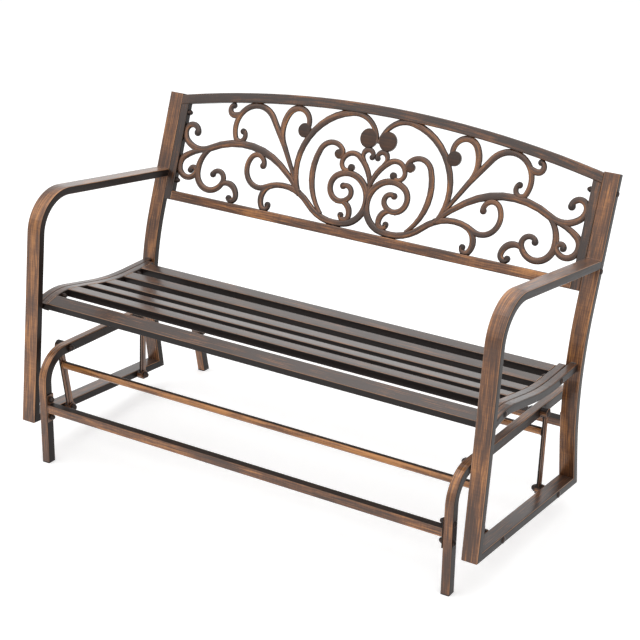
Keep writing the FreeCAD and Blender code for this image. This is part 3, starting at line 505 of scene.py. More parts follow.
def moulded_polyethylene():
    """Foot plugs of injection-moulded polyethylene: dull, faintly grained, a little waxy."""
    material, tree, shader = new_material("moulded polyethylene")
    where = add_node(tree, "ShaderNodeTexCoord")
    # the mould's spark-eroded grain, drawn at 1 mm because the real 0.1 mm wouldn't show
    grain = add_node(
        tree, "ShaderNodeTexNoise", Vector=where.outputs["Object"], Scale=1000.0, Detail=2.0,
    )
    dull = add_node(tree, "ShaderNodeMapRange", Value=grain, _1=0.3, _2=0.7, _3=0.5, _4=0.65)
    relief = add_node(tree, "ShaderNodeBump", Height=grain, Strength=0.3, Distance=0.0002)
    set_inputs(tree, shader, {
        "Base Color": opaque(bench().colours.plastic),
        "Roughness": dull,
        "IOR": 1.51,
        "Normal": relief,
    })
    return material


def painted_floor():
    """A studio floor rolled with matt white paint: pale and even, with a faint roller texture."""
    material, tree, shader = new_material("matt white floor paint")
    where = add_node(tree, "ShaderNodeTexCoord")
    # the roller's stipple, about 4 mm across
    stipple = add_node(
        tree, "ShaderNodeTexNoise", Vector=where.outputs["Object"], Scale=250.0, Detail=2.0,
    )
    dull = add_node(tree, "ShaderNodeMapRange", Value=stipple, _1=0.3, _2=0.7, _3=0.85, _4=0.95)
    # the photograph's white ground: the floor is lifted for the camera and for gloss alone
    seen = ray_is(tree, "Is Camera Ray", "Is Glossy Ray")
    lift = add_node(tree, "ShaderNodeMath", MULTIPLY, _0=seen, _1=FLOOR_LIFT)
    set_inputs(tree, shader, {
        "Base Color": opaque(bench().colours.floor),
        "Roughness": dull,
        "Emission Strength": lift,
        "Emission Color": (1, 1, 1, 1),
    })
    return material


MATERIALS = {
    "tube": lambda: brushed_bronze_enamel("brushed bronze enamel", 0.03, 0.30),
    "sparse": lambda: brushed_bronze_enamel("bronze enamel with little copper", -0.10, 0.12),
    "bare": lambda: brushed_bronze_enamel("bronze enamel with hardly any copper", -0.13, 0.14),
    "golden": lambda: brushed_bronze_enamel("bronze enamel with more gold", 0.06, 0.30),
    "gilded": lambda: brushed_bronze_enamel("bronze enamel, mostly gold", 0.22, 0.40, 0.45),
    # on the cast bars the copper keeps to the crown, and their darker sides are partly painted shade
    "casting": lambda: brushed_bronze_enamel("bronze enamel on casting", -0.02, 0.20, 0.38, 0.0),
    "bolt": black_oxide_steel,
    "plug": moulded_polyethylene,
}
made_materials = {}


def material_for(kind):
    """The material of a kind of piece, made when it is first asked for."""
    if kind not in made_materials:
        made_materials[kind] = MATERIALS[kind]()
    return made_materials[kind]


# Shapes
def side(point, x=0.0):
    """A point or direction of the side view, set at a place across the bench."""
    return Vector((x, point[0], point[1]))


def frame_matrix(origin, across, up, out):
    """The matrix that turns X, Y and Z into three directions and moves to an origin."""
    return Matrix.Translation(origin) @ Matrix((across, up, out)).transposed().to_4x4()


def new_shape():
    """An empty shape with the two attributes that the finishes read."""
    shape = bmesh.new()
    shape.verts.layers.float_vector.new("brushing")
    shape.verts.layers.float_vector.new("section")
    return shape


def attributes(shape):
    """The shape's brushing, in metres, and its section, from -1 to 1."""
    vectors = shape.verts.layers.float_vector
    return vectors["brushing"], vectors["section"]


def of_type(items, kind):
    return [item for item in items if isinstance(item, kind)]


def mark_along(shape, verts, along):
    """Note how far along its piece each vertex is."""
    brushing, _ = attributes(shape)
    for vert in verts:
        vert[brushing].x = along


def mark_alike(shape, before, stretch, place):
    """Give new vertices one place in the section, and brush marks by where they lie."""
    brushing, section = attributes(shape)
    for vert in shape.verts:
        if vert not in before:
            vert[brushing] = vert.co * stretch
            vert[section] = place


def rectangle(shape, width, depth):
    """A flat rectangle about the origin. Gives its corners, the two lower ones first."""
    verts = [
        shape.verts.new((x * width / 2, y * depth / 2, 0))
        for x, y in ((-1, -1), (1, -1), (1, 1), (-1, 1))
    ]
    shape.faces.new(verts)
    return verts


def round_off(shape, geometry, what, radius, segments):
    """Bevel vertices or edges to a round corner."""
    bmesh.ops.bevel(
        shape, geom=geometry, affect=what, offset=radius, segments=segments, profile=0.5,
        material=-1,
    )


def brush_start(start):
    """Where in the brush marks a piece begins, so that no two pieces look alike."""
    return start.dot(Vector((3, 5, 7)))


def set_end(shape, before, width, depth, start, across, out):
    """Mark the new section with its places and put it, as a face, at its piece's start."""
    face = max((item for item in shape.faces if item not in before), key=lambda f: len(f.verts))
    brushing, section = attributes(shape)
    for vert in face.verts:
        vert[brushing] = (brush_start(start), vert.co.x, vert.co.y)
        vert[section] = (vert.co.x * 2 / width, vert.co.y * 2 / depth, 0)
    matrix = frame_matrix(start, across, out, across.cross(out))
    bmesh.ops.transform(shape, matrix=matrix, verts=list(face.verts))
    return face


def tube_end(shape, width, depth, corner, start, across, out, segments=3):
    """The end face of a tube: a rectangle with rounded corners, square to across x out."""
    before = set(shape.faces)
    verts = rectangle(shape, width, depth)
    if corner > 0:
        round_off(shape, verts, "VERTICES", corner, segments)
    return set_end(shape, before, width, depth, start, across, out)


def run_on(shape, face, way, distance, travelled):
    """Extrude the tube's end straight on. Gives the new end and the length so far."""
    made = bmesh.ops.extrude_face_region(shape, geom=[face])["geom"]
    verts = of_type(made, bmesh.types.BMVert)
    bmesh.ops.translate(shape, verts=verts, vec=way * distance)
    mark_along(shape, verts, travelled + distance)
    return of_type(made, bmesh.types.BMFace)[0], travelled + distance


def bend_on(shape, face, centre, axis, turn, radius, travelled, step):
    """Carry the tube's end round a bend. Gives the new end and the length so far."""
    steps = max(1, math.ceil(abs(turn) / step))
    for _ in range(steps):
        made = bmesh.ops.spin(
            shape, geom=[face], cent=centre, axis=axis, angle=turn / steps, steps=1,
            use_merge=False, use_duplicate=False,
        )["geom_last"]
        travelled += radius * abs(turn) / steps
        mark_along(shape, of_type(made, bmesh.types.BMVert), travelled)
        face = of_type(made, bmesh.types.BMFace)[0]
    return face, travelled


def bent_tube(route, bends, width, depth, corner, x):
    """A rectangular tube along a route of the side view; bends gives each corner's radius."""
    shape = new_shape()
    points = [side(point, x) for point in route]
    ways = [(after - before).normalized() for before, after in zip(points, points[1:])]
    reaches = [0.0]
    for way, following, radius in zip(ways, ways[1:], bends):
        reaches.append(radius * math.tan(way.angle(following) / 2))
    reaches.append(0.0)
    face = tube_end(shape, width, depth, corner, points[0], X_AXIS, ways[0].cross(X_AXIS))
    travelled = brush_start(points[0])
    for index, way in enumerate(ways):
        run = (points[index + 1] - points[index]).length - reaches[index] - reaches[index + 1]
        face, travelled = run_on(shape, face, way, run, travelled)
        if index < len(bends):
            following, radius = ways[index + 1], bends[index]
            turn = math.copysign(way.angle(following), way.cross(following).x)
            start = points[index + 1] - way * reaches[index + 1]
            centre = start + X_AXIS.cross(way) * math.copysign(1, turn) * radius
            step = BEND_STEP if radius < LONG_BEND else LONG_BEND_STEP
            face, travelled = bend_on(shape, face, centre, X_AXIS, turn, radius, travelled, step)
    return shape


def straight_bar(shape, width, depth, corner, start, end, out, segments=3):
    """A straight bar from start to end whose broad faces look along out."""
    way = (end - start).normalized()
    face = tube_end(shape, width, depth, corner, start, out.cross(way), out, segments)
    run_on(shape, face, way, (end - start).length, brush_start(start))
    return shape


def trim(shape, point, normal):
    """Cut off what lies on the normal's side of a plane, and close the cut."""
    geometry = shape.verts[:] + shape.edges[:] + shape.faces[:]
    cut = bmesh.ops.bisect_plane(
        shape, geom=geometry, dist=ON_IT, plane_co=point, plane_no=normal, clear_outer=True,
    )["geom_cut"]
    bmesh.ops.contextual_create(shape, geom=of_type(cut, bmesh.types.BMEdge))


def turned(shape, profile, centre, axis, steps):
    """A solid of revolution: profile gives (distance along the axis, radius) from end to end."""
    helper = Y_AXIS if abs(axis.y) < 0.9 else Z_AXIS
    out = axis.cross(helper).normalized()
    verts = [shape.verts.new(centre + axis * reach + out * radius) for reach, radius in profile]
    edges = [shape.edges.new(pair) for pair in zip(verts, verts[1:])]
    bmesh.ops.spin(
        shape, geom=verts + edges, cent=centre, axis=axis, angle=math.tau, steps=steps,
        use_merge=True, use_duplicate=False,
    )
    poles = [vert for vert in shape.verts if (vert.co - centre).cross(axis).length < ON_IT]
    bmesh.ops.remove_doubles(shape, verts=poles, dist=TOUCHING)


def cylinder(height, radius):
    """Profile of a cylinder, for turned."""
    return [(0, 0), (0, radius), (height, radius), (height, 0)]


def rounded_disc(start, end, radius, rim):
    """Profile of a disc with rounded rims, for turned."""
    middle = rim * RIM_MIDDLE
    return [
        (start, 0), (start, radius - rim), (start + middle, radius - middle),
        (start + rim, radius), (end - rim, radius), (end - middle, radius - middle),
        (end, radius - rim), (end, 0),
    ]


def weld(shape, start, end, radius=WELD_RADIUS, edge=0.0):
    """A rippled weld bead, half sunk in the corner that it fills."""
    before = set(shape.verts)
    run = (end - start).length
    halves = 2 * max(2, round(run / WELD_PITCH))
    ripples = [
        (run * step / halves, radius * (1.0 if step % 2 else WELD_VALLEY))
        for step in range(halves + 1)
    ]
    profile = [(0, 0), *ripples, (run, 0)]
    turned(shape, profile, start, (end - start).normalized(), BEAD_STEPS)
    # an edge of 1 gives the bead the rubbed edges' copper, which is partly a painted highlight
    mark_alike(shape, before, 1, (edge, 1, 0))


def weld_end(shape, point, normal):
    """Weld beads on the two edges, across the bench, of a tube's end cut by a plane."""
    end = [
        vert.co.copy() for vert in shape.verts if abs((vert.co - point).dot(normal)) < TOUCHING
    ]
    along = X_AXIS.cross(normal).normalized()
    inset = bench().tubes.corner + WELD_INSET
    left, right = min(co.x for co in end) + inset, max(co.x for co in end) - inset
    for pick in (min, max):
        place = point + along * pick((co - point).dot(along) for co in end)
        weld(shape, Vector((left, place.y, place.z)), Vector((right, place.y, place.z)))


def brush_round(shape, verts, centre, radius):
    """Brush marks along X on a round piece, coppered in front, behind and on its end faces."""
    # the darker top and bottom that this leaves on a round piece are partly painted shade
    brushing, section = attributes(shape)
    for vert in verts:
        away = (vert.co - centre) / radius
        vert[brushing] = (vert.co.x, away.z * radius, away.y * radius)
        on_end = math.hypot(away.y, away.z) < END_FACE
        vert[section] = (0, 1 if on_end else away.y, 0)


def finish_piece(
    name, shape, node, kind="tube", body="seat", sharp=SHARP, seated=SEATED
):
    """Turn a shape into an object of the bench that stands for its CAD node."""
    bmesh.ops.remove_doubles(shape, verts=shape.verts[:], dist=TOUCHING)
    bmesh.ops.recalc_face_normals(shape, faces=shape.faces[:])
    places = [vert.co.copy() for vert in shape.verts]
    mesh = bpy.data.meshes.new(name)
    shape.to_mesh(mesh)
    shape.free()
    mesh.shade_smooth()
    mesh.set_sharp_from_angle(angle=math.radians(sharp))
    mesh.materials.append(material_for(kind))
    piece = bpy.data.objects.new(name, mesh)
    bpy.context.collection.objects.link(piece)
    weighted = piece.modifiers.new("flat faces stay flat", "WEIGHTED_NORMAL")
    weighted.keep_sharp = True
    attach(piece, body)
    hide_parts(node)
    low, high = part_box(node)
    box = (*map(min, *places), *map(max, *places))
    misfit = max(abs(a - b) for a, b in zip(box, (*low, *high)))
    if misfit > seated:
        raise RuntimeError(f"{name} misses its CAD node by {misfit / MM:.1f} mm")


# Lines of the bench in the side view, each point (depth, height)
def bench():
    """The bench's sizes, colours and view."""
    return bpy.context.scene.glider_bench


def base_corners():
    """Front foot, two top corners and rear foot of the base's side."""
    base, tubes = bench().base, bench().tubes
    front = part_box("base_side_left")[0][1] + tubes.base_depth / 2
    return [
        Vector((front, 0)), Vector((front, base.front_height)),
        Vector((front + base.top_depth, base.rear_height)), Vector((-front, 0)),
    ]


def leg_line(name):
    """Foot and upward direction of the front or rear leg."""
    front_foot, front_corner, rear_corner, rear_foot = base_corners()
    if name == "front":
        return front_foot, (front_corner - front_foot).normalized()
    return rear_foot, (rear_corner - rear_foot).normalized()


def on_leg(name, height):
    foot, way = leg_line(name)
    return foot + way * (height / way.y)


def quarter_back(way):
    """The direction a quarter turn to the back of an upward direction."""
    return Vector((way.y, -way.x))


def lean_way():
    lean = bench().sides.lean
    return Vector((math.sin(lean), math.cos(lean)))


def frame_ways():
    """Directions of the side frame's bottom rail, post and lower upright."""
    sides = bench().sides
    front, rear = Vector(sides.front), Vector(sides.rear)
    return (
        (rear - front).normalized(), (Vector(sides.arm_corner) - front).normalized(),
        (Vector(sides.back_corner) - rear).normalized(),
    )


def seat_line():
    """Directions of the seat line's front run, its fall and its level run."""
    seat = bench().seat
    rise = Vector((math.cos(seat.nose_angle), math.sin(seat.nose_angle)))
    fall = (Vector(seat.dip) - Vector(seat.nose)).normalized()
    return rise, fall, Vector((1, 0))


def bend_centre(corner, way_in, way_out, radius):
    inward = (way_out - way_in).normalized()
    return corner + inward * (radius / math.cos(way_in.angle(way_out) / 2))


def upright_front_at(height):
    """Point and upward direction of the uprights' front face inside their long bend."""
    sides = bench().sides
    centre = bend_centre(
        Vector(sides.back_corner), frame_ways()[2], lean_way(), sides.back_bend
    )
    radius = sides.back_bend + bench().tubes.side_depth / 2
    rise = height - centre.y
    run = math.sqrt(radius ** 2 - rise ** 2)
    return Vector((centre.x - run, height)), Vector((rise, run)) / radius


def seat_top_at(depth):
    """Point and direction of the seat's top line at a depth."""
    seat = bench().seat
    rise, fall, level = seat_line()
    nose = bend_centre(Vector(seat.nose), rise, fall, seat.nose_bend)
    dip = bend_centre(Vector(seat.dip), fall, level, seat.dip_bend)
    if depth < nose.x - seat.nose_bend * fall.y:
        run = depth - nose.x
        height = math.sqrt(seat.nose_bend ** 2 - run ** 2)
        return Vector((depth, nose.y + height)), Vector((height, -run)) / seat.nose_bend
    if depth < dip.x + seat.dip_bend * fall.y:
        return Vector(seat.dip) + fall * ((depth - seat.dip[0]) / fall.x), fall
    if depth < dip.x:
        run = depth - dip.x
        height = math.sqrt(seat.dip_bend ** 2 - run ** 2)
        return Vector((depth, dip.y - height)), Vector((height, run)) / seat.dip_bend
    return Vector((depth, seat.dip[1])), level


def slat_lines():
    """Depths of the slats' middle lines, from the front one on the nose to the last."""
    seat = bench().seat
    return [seat.front_slat] + [
        seat.second_slat + seat.pitch * step for step in range(seat.slats - 1)
    ]


def seat_bolt_places():
    """Bolts lie between the first two slats and between the last two."""
    drop = bench().tubes.bar_depth / 2
    lines = slat_lines()
    places = []
    for before, after in (lines[:2], lines[-2:]):
        point, way = seat_top_at((before + after) / 2)
        places.append(point + quarter_back(way) * drop)
    return places


def back_bolt_places():
    back, corner = bench().back, Vector(bench().sides.back_corner)
    first = back.start + back.bolt_inset
    return [corner + lean_way() * distance for distance in (first, first + back.bolt_pitch)]


def stretcher_bolt_places():
    base = bench().base
    places = []
    for name in ("front", "rear"):
        middle, way = on_leg(name, base.stretcher_height), leg_line(name)[1]
        places += [middle + way * base.bolt_pitch / 2, middle - way * base.bolt_pitch / 2]
    return places


def middle_x(node):
    low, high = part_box(node)
    return (low[0] + high[0]) / 2


# The base
class BaseSidesOperator(bpy.types.Operator):
    """Bend the two sides of the standing base"""

    bl_idname = "glider_bench.base_sides"
    bl_label = "Base Sides"

    def execute(self, context):
        tubes, base = bench().tubes, bench().base
        front_foot, front_corner, rear_corner, rear_foot = base_corners()
        below = rear_foot + (rear_foot - rear_corner).normalized() * tubes.base_depth
        for name, _ in SIDES:
            node = f"base_side_{name}"
            shape = bent_tube(
                [front_foot, front_corner, rear_corner, below], [base.bend] * 2,
                tubes.base_width, tubes.base_depth, tubes.corner, middle_x(node),
            )
            trim(shape, Vector((0, 0, base.foot_height)), -Z_AXIS)
            finish_piece(f"{node}_tube", shape, node, body="base")
        return {"FINISHED"}


class FootPlugsOperator(bpy.types.Operator):
    """Close the four feet with plugs"""

    bl_idname = "glider_bench.foot_plugs"
    bl_label = "Foot Plugs"

    def execute(self, context):
        tubes, base = bench().tubes, bench().base
        shape = new_shape()
        for side_name, _ in SIDES:
            x = middle_x(f"base_side_{side_name}")
            for name in ("front", "rear"):
                top, slant = on_leg(name, base.foot_height), leg_line(name)[1].y
                face = tube_end(
                    shape, tubes.base_width, tubes.base_depth / slant, tubes.corner,
                    Vector((x, top.x, 0)), X_AXIS, Y_AXIS,
                )
                run_on(shape, face, Z_AXIS, base.foot_height, 0.0)
        finish_piece("foot_plug_set", shape, "base_foot_plugs", "plug", "base")
        return {"FINISHED"}


class StretchersOperator(bpy.types.Operator):
    """Tie the base sides with two square tubes and their end plates"""

    bl_idname = "glider_bench.stretchers"
    bl_label = "Stretchers"

    def execute(self, context):
        tubes, base = bench().tubes, bench().base
        half = tubes.stretcher / 2
        for name in ("front", "rear"):
            middle, way = on_leg(name, base.stretcher_height), leg_line(name)[1]
            back = side(quarter_back(way))
            ends = [corner[0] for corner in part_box(f"{name}_stretcher")]
            shape = straight_bar(
                new_shape(), tubes.stretcher, tubes.stretcher, tubes.corner,
                side(middle, ends[0]), side(middle, ends[1]), -back,
            )
            for end in ends:
                for first, second in ((side(way), back), (back, side(way))):
                    for sign in (-1, 1):
                        edge = side(middle, end) + first * half * sign
                        reach = second * half * WELD_REACH
                        weld(shape, edge - reach, edge + reach)
            finish_piece(f"{name}_stretcher_tube", shape, f"{name}_stretcher", body="base")

            plates = new_shape()
            node = f"{name}_stretcher_plates"
            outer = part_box(node)[1][0]
            half_plate = way * base.plate_height / 2
            for _, sign in SIDES:
                x = (outer - base.plate_thickness / 2) * sign
                straight_bar(
                    plates, tubes.base_depth, base.plate_thickness, PLATE_EDGE,
                    side(middle - half_plate, x), side(middle + half_plate, x), X_AXIS * sign, 2,
                )
            finish_piece(f"{name}_end_plates", plates, node, body="base")
        return {"FINISHED"}


# The rockers
class RockersOperator(bpy.types.Operator):
    """Make the ribbed links with their hubs, and the round cross tubes"""

    bl_idname = "glider_bench.rockers"
    bl_label = "Rockers"

    def execute(self, context):
        rockers = bench().rockers
        for name, top, low, drop in (
            ("front", rockers.front_top, rockers.front_low, rockers.front_drop),
            ("rear", rockers.rear_top, rockers.rear_low, rockers.rear_drop),
        ):
            top, low = Vector(top), Vector(low)
            way = (top - low).normalized()
            for side_name, sign in SIDES:
                self.make_link(f"{name}_link_{side_name}", f"{name}_rocker", top, low, sign)
            self.make_cross_tube(f"{name}_cross_tube", f"{name}_rocker", top - way * drop)
        return {"FINISHED"}

    def make_link(self, node, body, top, low, sign):
        """A flat bar with a rib on both faces; its top hub reaches in and its low hub out."""
        rockers = bench().rockers
        x, way = middle_x(node), (top - low).normalized()
        shape = straight_bar(
            new_shape(), rockers.width, rockers.thickness, LINK_EDGE,
            side(low, x), side(top, x), X_AXIS * sign, 2,
        )
        inset = way * rockers.hub
        straight_bar(
            shape, rockers.rib_width, rockers.thickness + rockers.rib_height * 2, RIB_EDGE,
            side(low + inset, x), side(top - inset, x), X_AXIS * sign, 2,
        )
        inner, outer = sorted((corner[0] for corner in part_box(node)), key=abs)
        half_hub = rockers.hub_length / 2 * sign
        for place, ends in ((top, (inner, x + half_hub)), (low, (x - half_hub, outer))):
            before = set(shape.verts)
            start, end = sorted(ends)
            profile = rounded_disc(0, end - start, rockers.hub, HUB_EDGE)
            turned(shape, profile, side(place, start), X_AXIS, TUBE_STEPS)
            hub = [vert for vert in shape.verts if vert not in before]
            brush_round(shape, hub, side(place, x), rockers.hub)
        finish_piece(f"{node}_bar", shape, node, body=body)

    def make_cross_tube(self, node, body, place):
        """A round tube with a collar of weld at each end."""
        radius = bench().tubes.cross_radius
        left, right = [corner[0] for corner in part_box(node)]
        shape = new_shape()
        turned(shape, cylinder(right - left, radius), side(place, left), X_AXIS, TUBE_STEPS)
        collar = [
            (0, 0), (0, radius + WELD_RADIUS), (WELD_RADIUS, radius + WELD_RADIUS * COLLAR_SHOULDER),
            (WELD_RADIUS * 2, radius * COLLAR_END), (WELD_RADIUS * 2, 0),
        ]
        for end, sign in ((left, 1), (right, -1)):
            turned(shape, collar, side(place, end), X_AXIS * sign, TUBE_STEPS)
        brush_round(shape, shape.verts, side(place), radius)
        finish_piece(f"{node}_bar", shape, node, "gilded", body)


# The side frames of the seat
class SideFramesOperator(bpy.types.Operator):
    """Bend the bottom rails, the posts with their arms, and the uprights"""

    bl_idname = "glider_bench.side_frames"
    bl_label = "Side Frames"

    def execute(self, context):
        sides, tubes = bench().sides, bench().tubes
        front, rear = Vector(sides.front), Vector(sides.rear)
        arm_corner, back_corner = Vector(sides.arm_corner), Vector(sides.back_corner)
        rail_way, post_way, lower_way = frame_ways()
        lean = lean_way()
        lean_back = side(quarter_back(lean))
        arm_way = Vector((math.cos(sides.arm_slope), -math.sin(sides.arm_slope)))
        front_mitre = side(quarter_back((post_way + rail_way).normalized()))
        rear_mitre = side(quarter_back((lower_way - rail_way).normalized()))
        # each tube starts past its corner and is cut back to the mitre
        over = tubes.side_width * 2
        arm_end = arm_corner + arm_way * (back_corner.x - arm_corner.x + sides.upright)
        upright_face = side(back_corner) - lean_back * tubes.side_depth / 2
        top = back_corner + lean * sides.upright
        for name, _ in SIDES:
            section = (
                tubes.side_width, tubes.side_depth, tubes.corner, middle_x(f"bottom_rail_{name}")
            )
            rail = bent_tube([front - rail_way * over, rear + rail_way * over], [], *section)
            trim(rail, side(front), -front_mitre)
            trim(rail, side(rear), rear_mitre)
            finish_piece(f"bottom_rail_{name}_tube", rail, f"bottom_rail_{name}", "sparse")

            route = [front - post_way * over, arm_corner, arm_end]
            post = bent_tube(route, [sides.arm_bend], *section)
            trim(post, side(front), front_mitre)
            trim(post, upright_face, lean_back)
            weld_end(post, upright_face, lean_back)
            finish_piece(f"arm_post_{name}_tube", post, f"arm_post_{name}")

            route = [rear - lower_way * over, back_corner, top]
            upright = bent_tube(route, [sides.back_bend], *section)
            trim(upright, side(rear), -rear_mitre)
            finish_piece(f"upright_{name}_tube", upright, f"upright_{name}")
        caps = new_shape()
        for name, _ in SIDES:
            face = tube_end(
                caps, tubes.side_width, tubes.side_depth, tubes.corner,
                side(top, middle_x(f"upright_{name}")), X_AXIS, lean_back,
            )
            run_on(caps, face, side(lean), sides.cap, 0.0)
        finish_piece("upright_cap_set", caps, "upright_caps")
        return {"FINISHED"}


# The seat
class SeatBarsOperator(bpy.types.Operator):
    """Bend the bars that carry the seat and the bars that the slats are welded to"""

    bl_idname = "glider_bench.seat_bars"
    bl_label = "Seat Bars"

    def execute(self, context):
        seat, tubes, sides = bench().seat, bench().tubes, bench().sides
        half = tubes.bar_depth / 2
        rise, fall, level = seat_line()
        # the bars' middle line runs below the seat's top line
        nose = Vector(seat.nose) + bend_centre(Vector((0, 0)), rise, fall, half)
        dip = Vector(seat.dip) - bend_centre(Vector((0, 0)), fall, level, half)
        start = nose - rise * (seat.nose[0] - sides.front[0])
        route = [start, nose, dip, Vector((sides.back_corner[0] + tubes.side_width, dip.y))]
        bends = [seat.nose_bend - half, seat.dip_bend + half]
        post_back = quarter_back(frame_ways()[1])
        post_face = Vector(sides.front) + post_back * tubes.side_depth / 2
        upright_face, upright_way = upright_front_at(seat.dip[1] - half)
        front_top, front_way = seat_top_at(slat_lines()[0])
        rear_top, rear_way = seat_top_at(slat_lines()[-1])
        panel_front = front_top - front_way * seat.slat_width / 2
        panel_rear = rear_top + rear_way * (seat.slat_width / 2 + seat.tail)
        for label, welded, front, ahead, rear, behind in (
            (
                "seat_support_bar", True, post_face, -post_back,
                upright_face, quarter_back(upright_way),
            ),
            ("seat_side_bar", False, panel_front, -front_way, panel_rear, rear_way),
        ):
            ends = ((side(front), side(ahead)), (side(rear), side(behind)))
            for name, _ in SIDES:
                node = f"{label}_{name}"
                shape = bent_tube(
                    route, bends, tubes.bar_width, tubes.bar_depth, tubes.corner, middle_x(node)
                )
                for end in ends:
                    trim(shape, *end)
                if welded:
                    for end in ends:
                        weld_end(shape, *end)
                finish_piece(f"{node}_tube", shape, node, "sparse")
        return {"FINISHED"}


class SlatsOperator(bpy.types.Operator):
    """Lay the flat slats across the seat's curve"""

    bl_idname = "glider_bench.slats"
    bl_label = "Slats"

    def execute(self, context):
        seat, tubes = bench().seat, bench().tubes
        for number, depth_line in enumerate(slat_lines(), start=1):
            node = f"seat_slat_{number}"
            left, right = [corner[0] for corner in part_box(node)]
            point, way = seat_top_at(depth_line)
            up = -quarter_back(way)
            centre = point - up * seat.slat_depth / 2
            shape = straight_bar(
                new_shape(), seat.slat_width, seat.slat_depth, tubes.corner,
                side(centre, left), side(centre, right), side(up),
            )
            run = side(way) * (seat.slat_width / 2 - tubes.corner - WELD_INSET)
            for end in (left, right):
                weld(shape, side(point, end) - run, side(point, end) + run, FINE_WELD, 1.0)
            finish_piece(f"{node}_tube", shape, node, "bare")
        return {"FINISHED"}


# The back panel
def panel_frame():
    """Origin of the back panel and its directions across, up and out to the front."""
    sides = bench().sides
    origin = Vector(sides.back_corner) + lean_way() * bench().back.start
    up = side(lean_way())
    return side(origin), X_AXIS, up, X_AXIS.cross(up)


class BackFrameOperator(bpy.types.Operator):
    """Make the back panel's rails and stiles"""

    bl_idname = "glider_bench.back_frame"
    bl_label = "Back Frame"

    def execute(self, context):
        back, depth, corner = bench().back, bench().tubes.side_depth, bench().tubes.corner
        origin, across, up, out = panel_frame()
        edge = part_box("back_stile_right")[1][0]
        inner = edge - back.stile
        arch_centre = origin + up * (back.height - back.rail / 2 - back.arch)

        middle = origin + up * back.rail / 2
        shape = straight_bar(
            new_shape(), back.rail, depth, corner, middle - across * inner,
            middle + across * inner, out,
        )
        for _, sign in SIDES:
            foot = origin + across * inner * sign + out * depth / 2
            top = foot + up * (back.rail - WELD_PITCH)
            weld(shape, foot + up * WELD_PITCH, top, FINE_WELD, 1.0)
        finish_piece("back_bottom_rail_tube", shape, "back_bottom_rail", "golden")

        half_turn = math.asin(edge / back.arch) + ARCH_OVERRUN
        radial = up * math.cos(half_turn) - across * math.sin(half_turn)
        shape = new_shape()
        face = tube_end(
            shape, back.rail, depth, corner, arch_centre + radial * back.arch, radial, out
        )
        bend_on(
            shape, face, arch_centre, out, -2 * half_turn, back.arch, brush_start(arch_centre),
            ARCH_STEP,
        )
        trim(shape, across * edge, across)
        trim(shape, -across * edge, -across)
        finish_piece("back_top_rail_tube", shape, "back_top_rail", "sparse")

        for name, sign in SIDES:
            node = f"back_stile_{name}"
            x = (edge - back.stile / 2) * sign
            foot = origin + across * x
            shape = straight_bar(
                new_shape(), back.stile, depth, corner, foot, foot + up * back.height, out
            )
            turn = math.asin(x / back.arch)
            radial = up * math.cos(turn) + across * math.sin(turn)
            trim(shape, arch_centre + radial * (back.arch - back.rail / 2), radial)
            finish_piece(f"{node}_tube", shape, node, "sparse")
        return {"FINISHED"}


# Scrollwork of the back, in millimetres for the half with positive x, mirrored for the other:
# where each bar starts, its heading in degrees, its greatest width, whether it starts as a tip,
# and (radius, turn) for each of its bends
SCROLLS = {
    "crown sweep": ((5, 254), 75, 17.5, False, [(72, -85), (160, -59), (132, -53)]),
    "trunk": ((73, 129), 150, 17, True, [
        (17, 159), (33, 199), (61, 196), (126, 58), (118, -69), (45, 150), (23, 151),
    ]),
    "long branch": ((195, 91), 46, 19, False, [
        (364, -14), (221, -60), (67, 66), (33, 44), (20, 182),
    ]),
    "lower branch": ((467, 163), -23, 16.8, False, [(72, -74), (43, -148), (19, -176)]),
    "corner branch": ((500, 146), -7, 16.4, False, [(124, -29), (29, -201), (10, -205)]),
    "foot curl": ((432, 70), 142, 16.6, False, [(32, 120), (12, 146)]),
    "high branch": ((221, 129), 59.5, 16.2, False, [(1014, -9), (61, -166), (15, -210)]),
    "shoulder curl": ((404, 262), -57, 15.8, False, [(32, 59), (13, 156)]),
    "crown branch": ((266, 202), 57, 16.9, False, [(71, 64), (34, 167)]),
    "hanging curl": ((283, 89), -22, 16.1, False, [(34, -104), (11, -151)]),
    "inner branch": ((129, 58), 45, 16, False, [(134, 68), (37, 117), (11, 120)]),
    "heart sweep": ((-2, 118), 92, 14.5, False, [(101, -59), (30, -108), (17, -155)]),
    "heart bud": ((32, 205), 59, 14, False, [(14, 225)]),
    "base curl": ((76, 91), 169, 15.9, False, [(28, 110), (12, 158)]),
}
# Round bosses of the casting: centre and radius
BOSSES = [((27, 253), 24), ((213, 243), 18), ((103, 203), 11), ((60, 176), 9)]
# Places across the panel where scrolls are welded to the bottom rail and to the top rail
BOTTOM_WELDS = (79, 289, 392)
TOP_WELDS = (78, 243, 370)
# Radius of these welds, and their thickness as a share of the bars'
WELD_SPOT = 6
WELD_SPOT_THICKNESS = 0.8
# The scrolls reach a little further up and down than their plan, about its middle height
STRETCH = 1.035
MIDDLE = 170
# Greatest turn, in degrees, of one step of a cast bar
CAST_STEP = 9
# Roundings of a cast bar's back and crown, and of a boss's rim, in metres
BACK_ROUNDING = 0.0022
CROWN_ROUNDING = 0.0042
BOSS_RIM = 0.0022
# A bar's width at its start and at its tip, as shares of its greatest width
START_SHARE = 0.62
TIP_SHARE = 0.76
# Shares of a bar's length: it has swelled by the first, and fades from the second
SWELLED = 0.30
FADES = 0.45
# How far a bar's start runs back into its neighbour, in metres
LEAD_IN = 0.010
# A tip's bulb against the bar there: radius, thickness, and its rim against its radius
BULB_SHARE = 1.3
BULB_THICKNESS = 0.99
BULB_RIM = 0.34
# How far a boss's faces stand above the bars', in metres
BOSS_STAND = 0.0004
# The bars' thickness rises with their width, so that no two crossing faces are flush
THICKNESS_BASE = 0.86
THICKNESS_PER_WIDTH = 7.4
# The flat discs took less copper than the bars' crowns
DISC_SHADE = 0.46
# Their brush marks are drawn out, so that each disc is one even tone
DISC_STREAKS = 0.12


def plan(x, y):
    """A point of the flat panel from millimetres."""
    return Vector((x * MM, y * MM, 0))


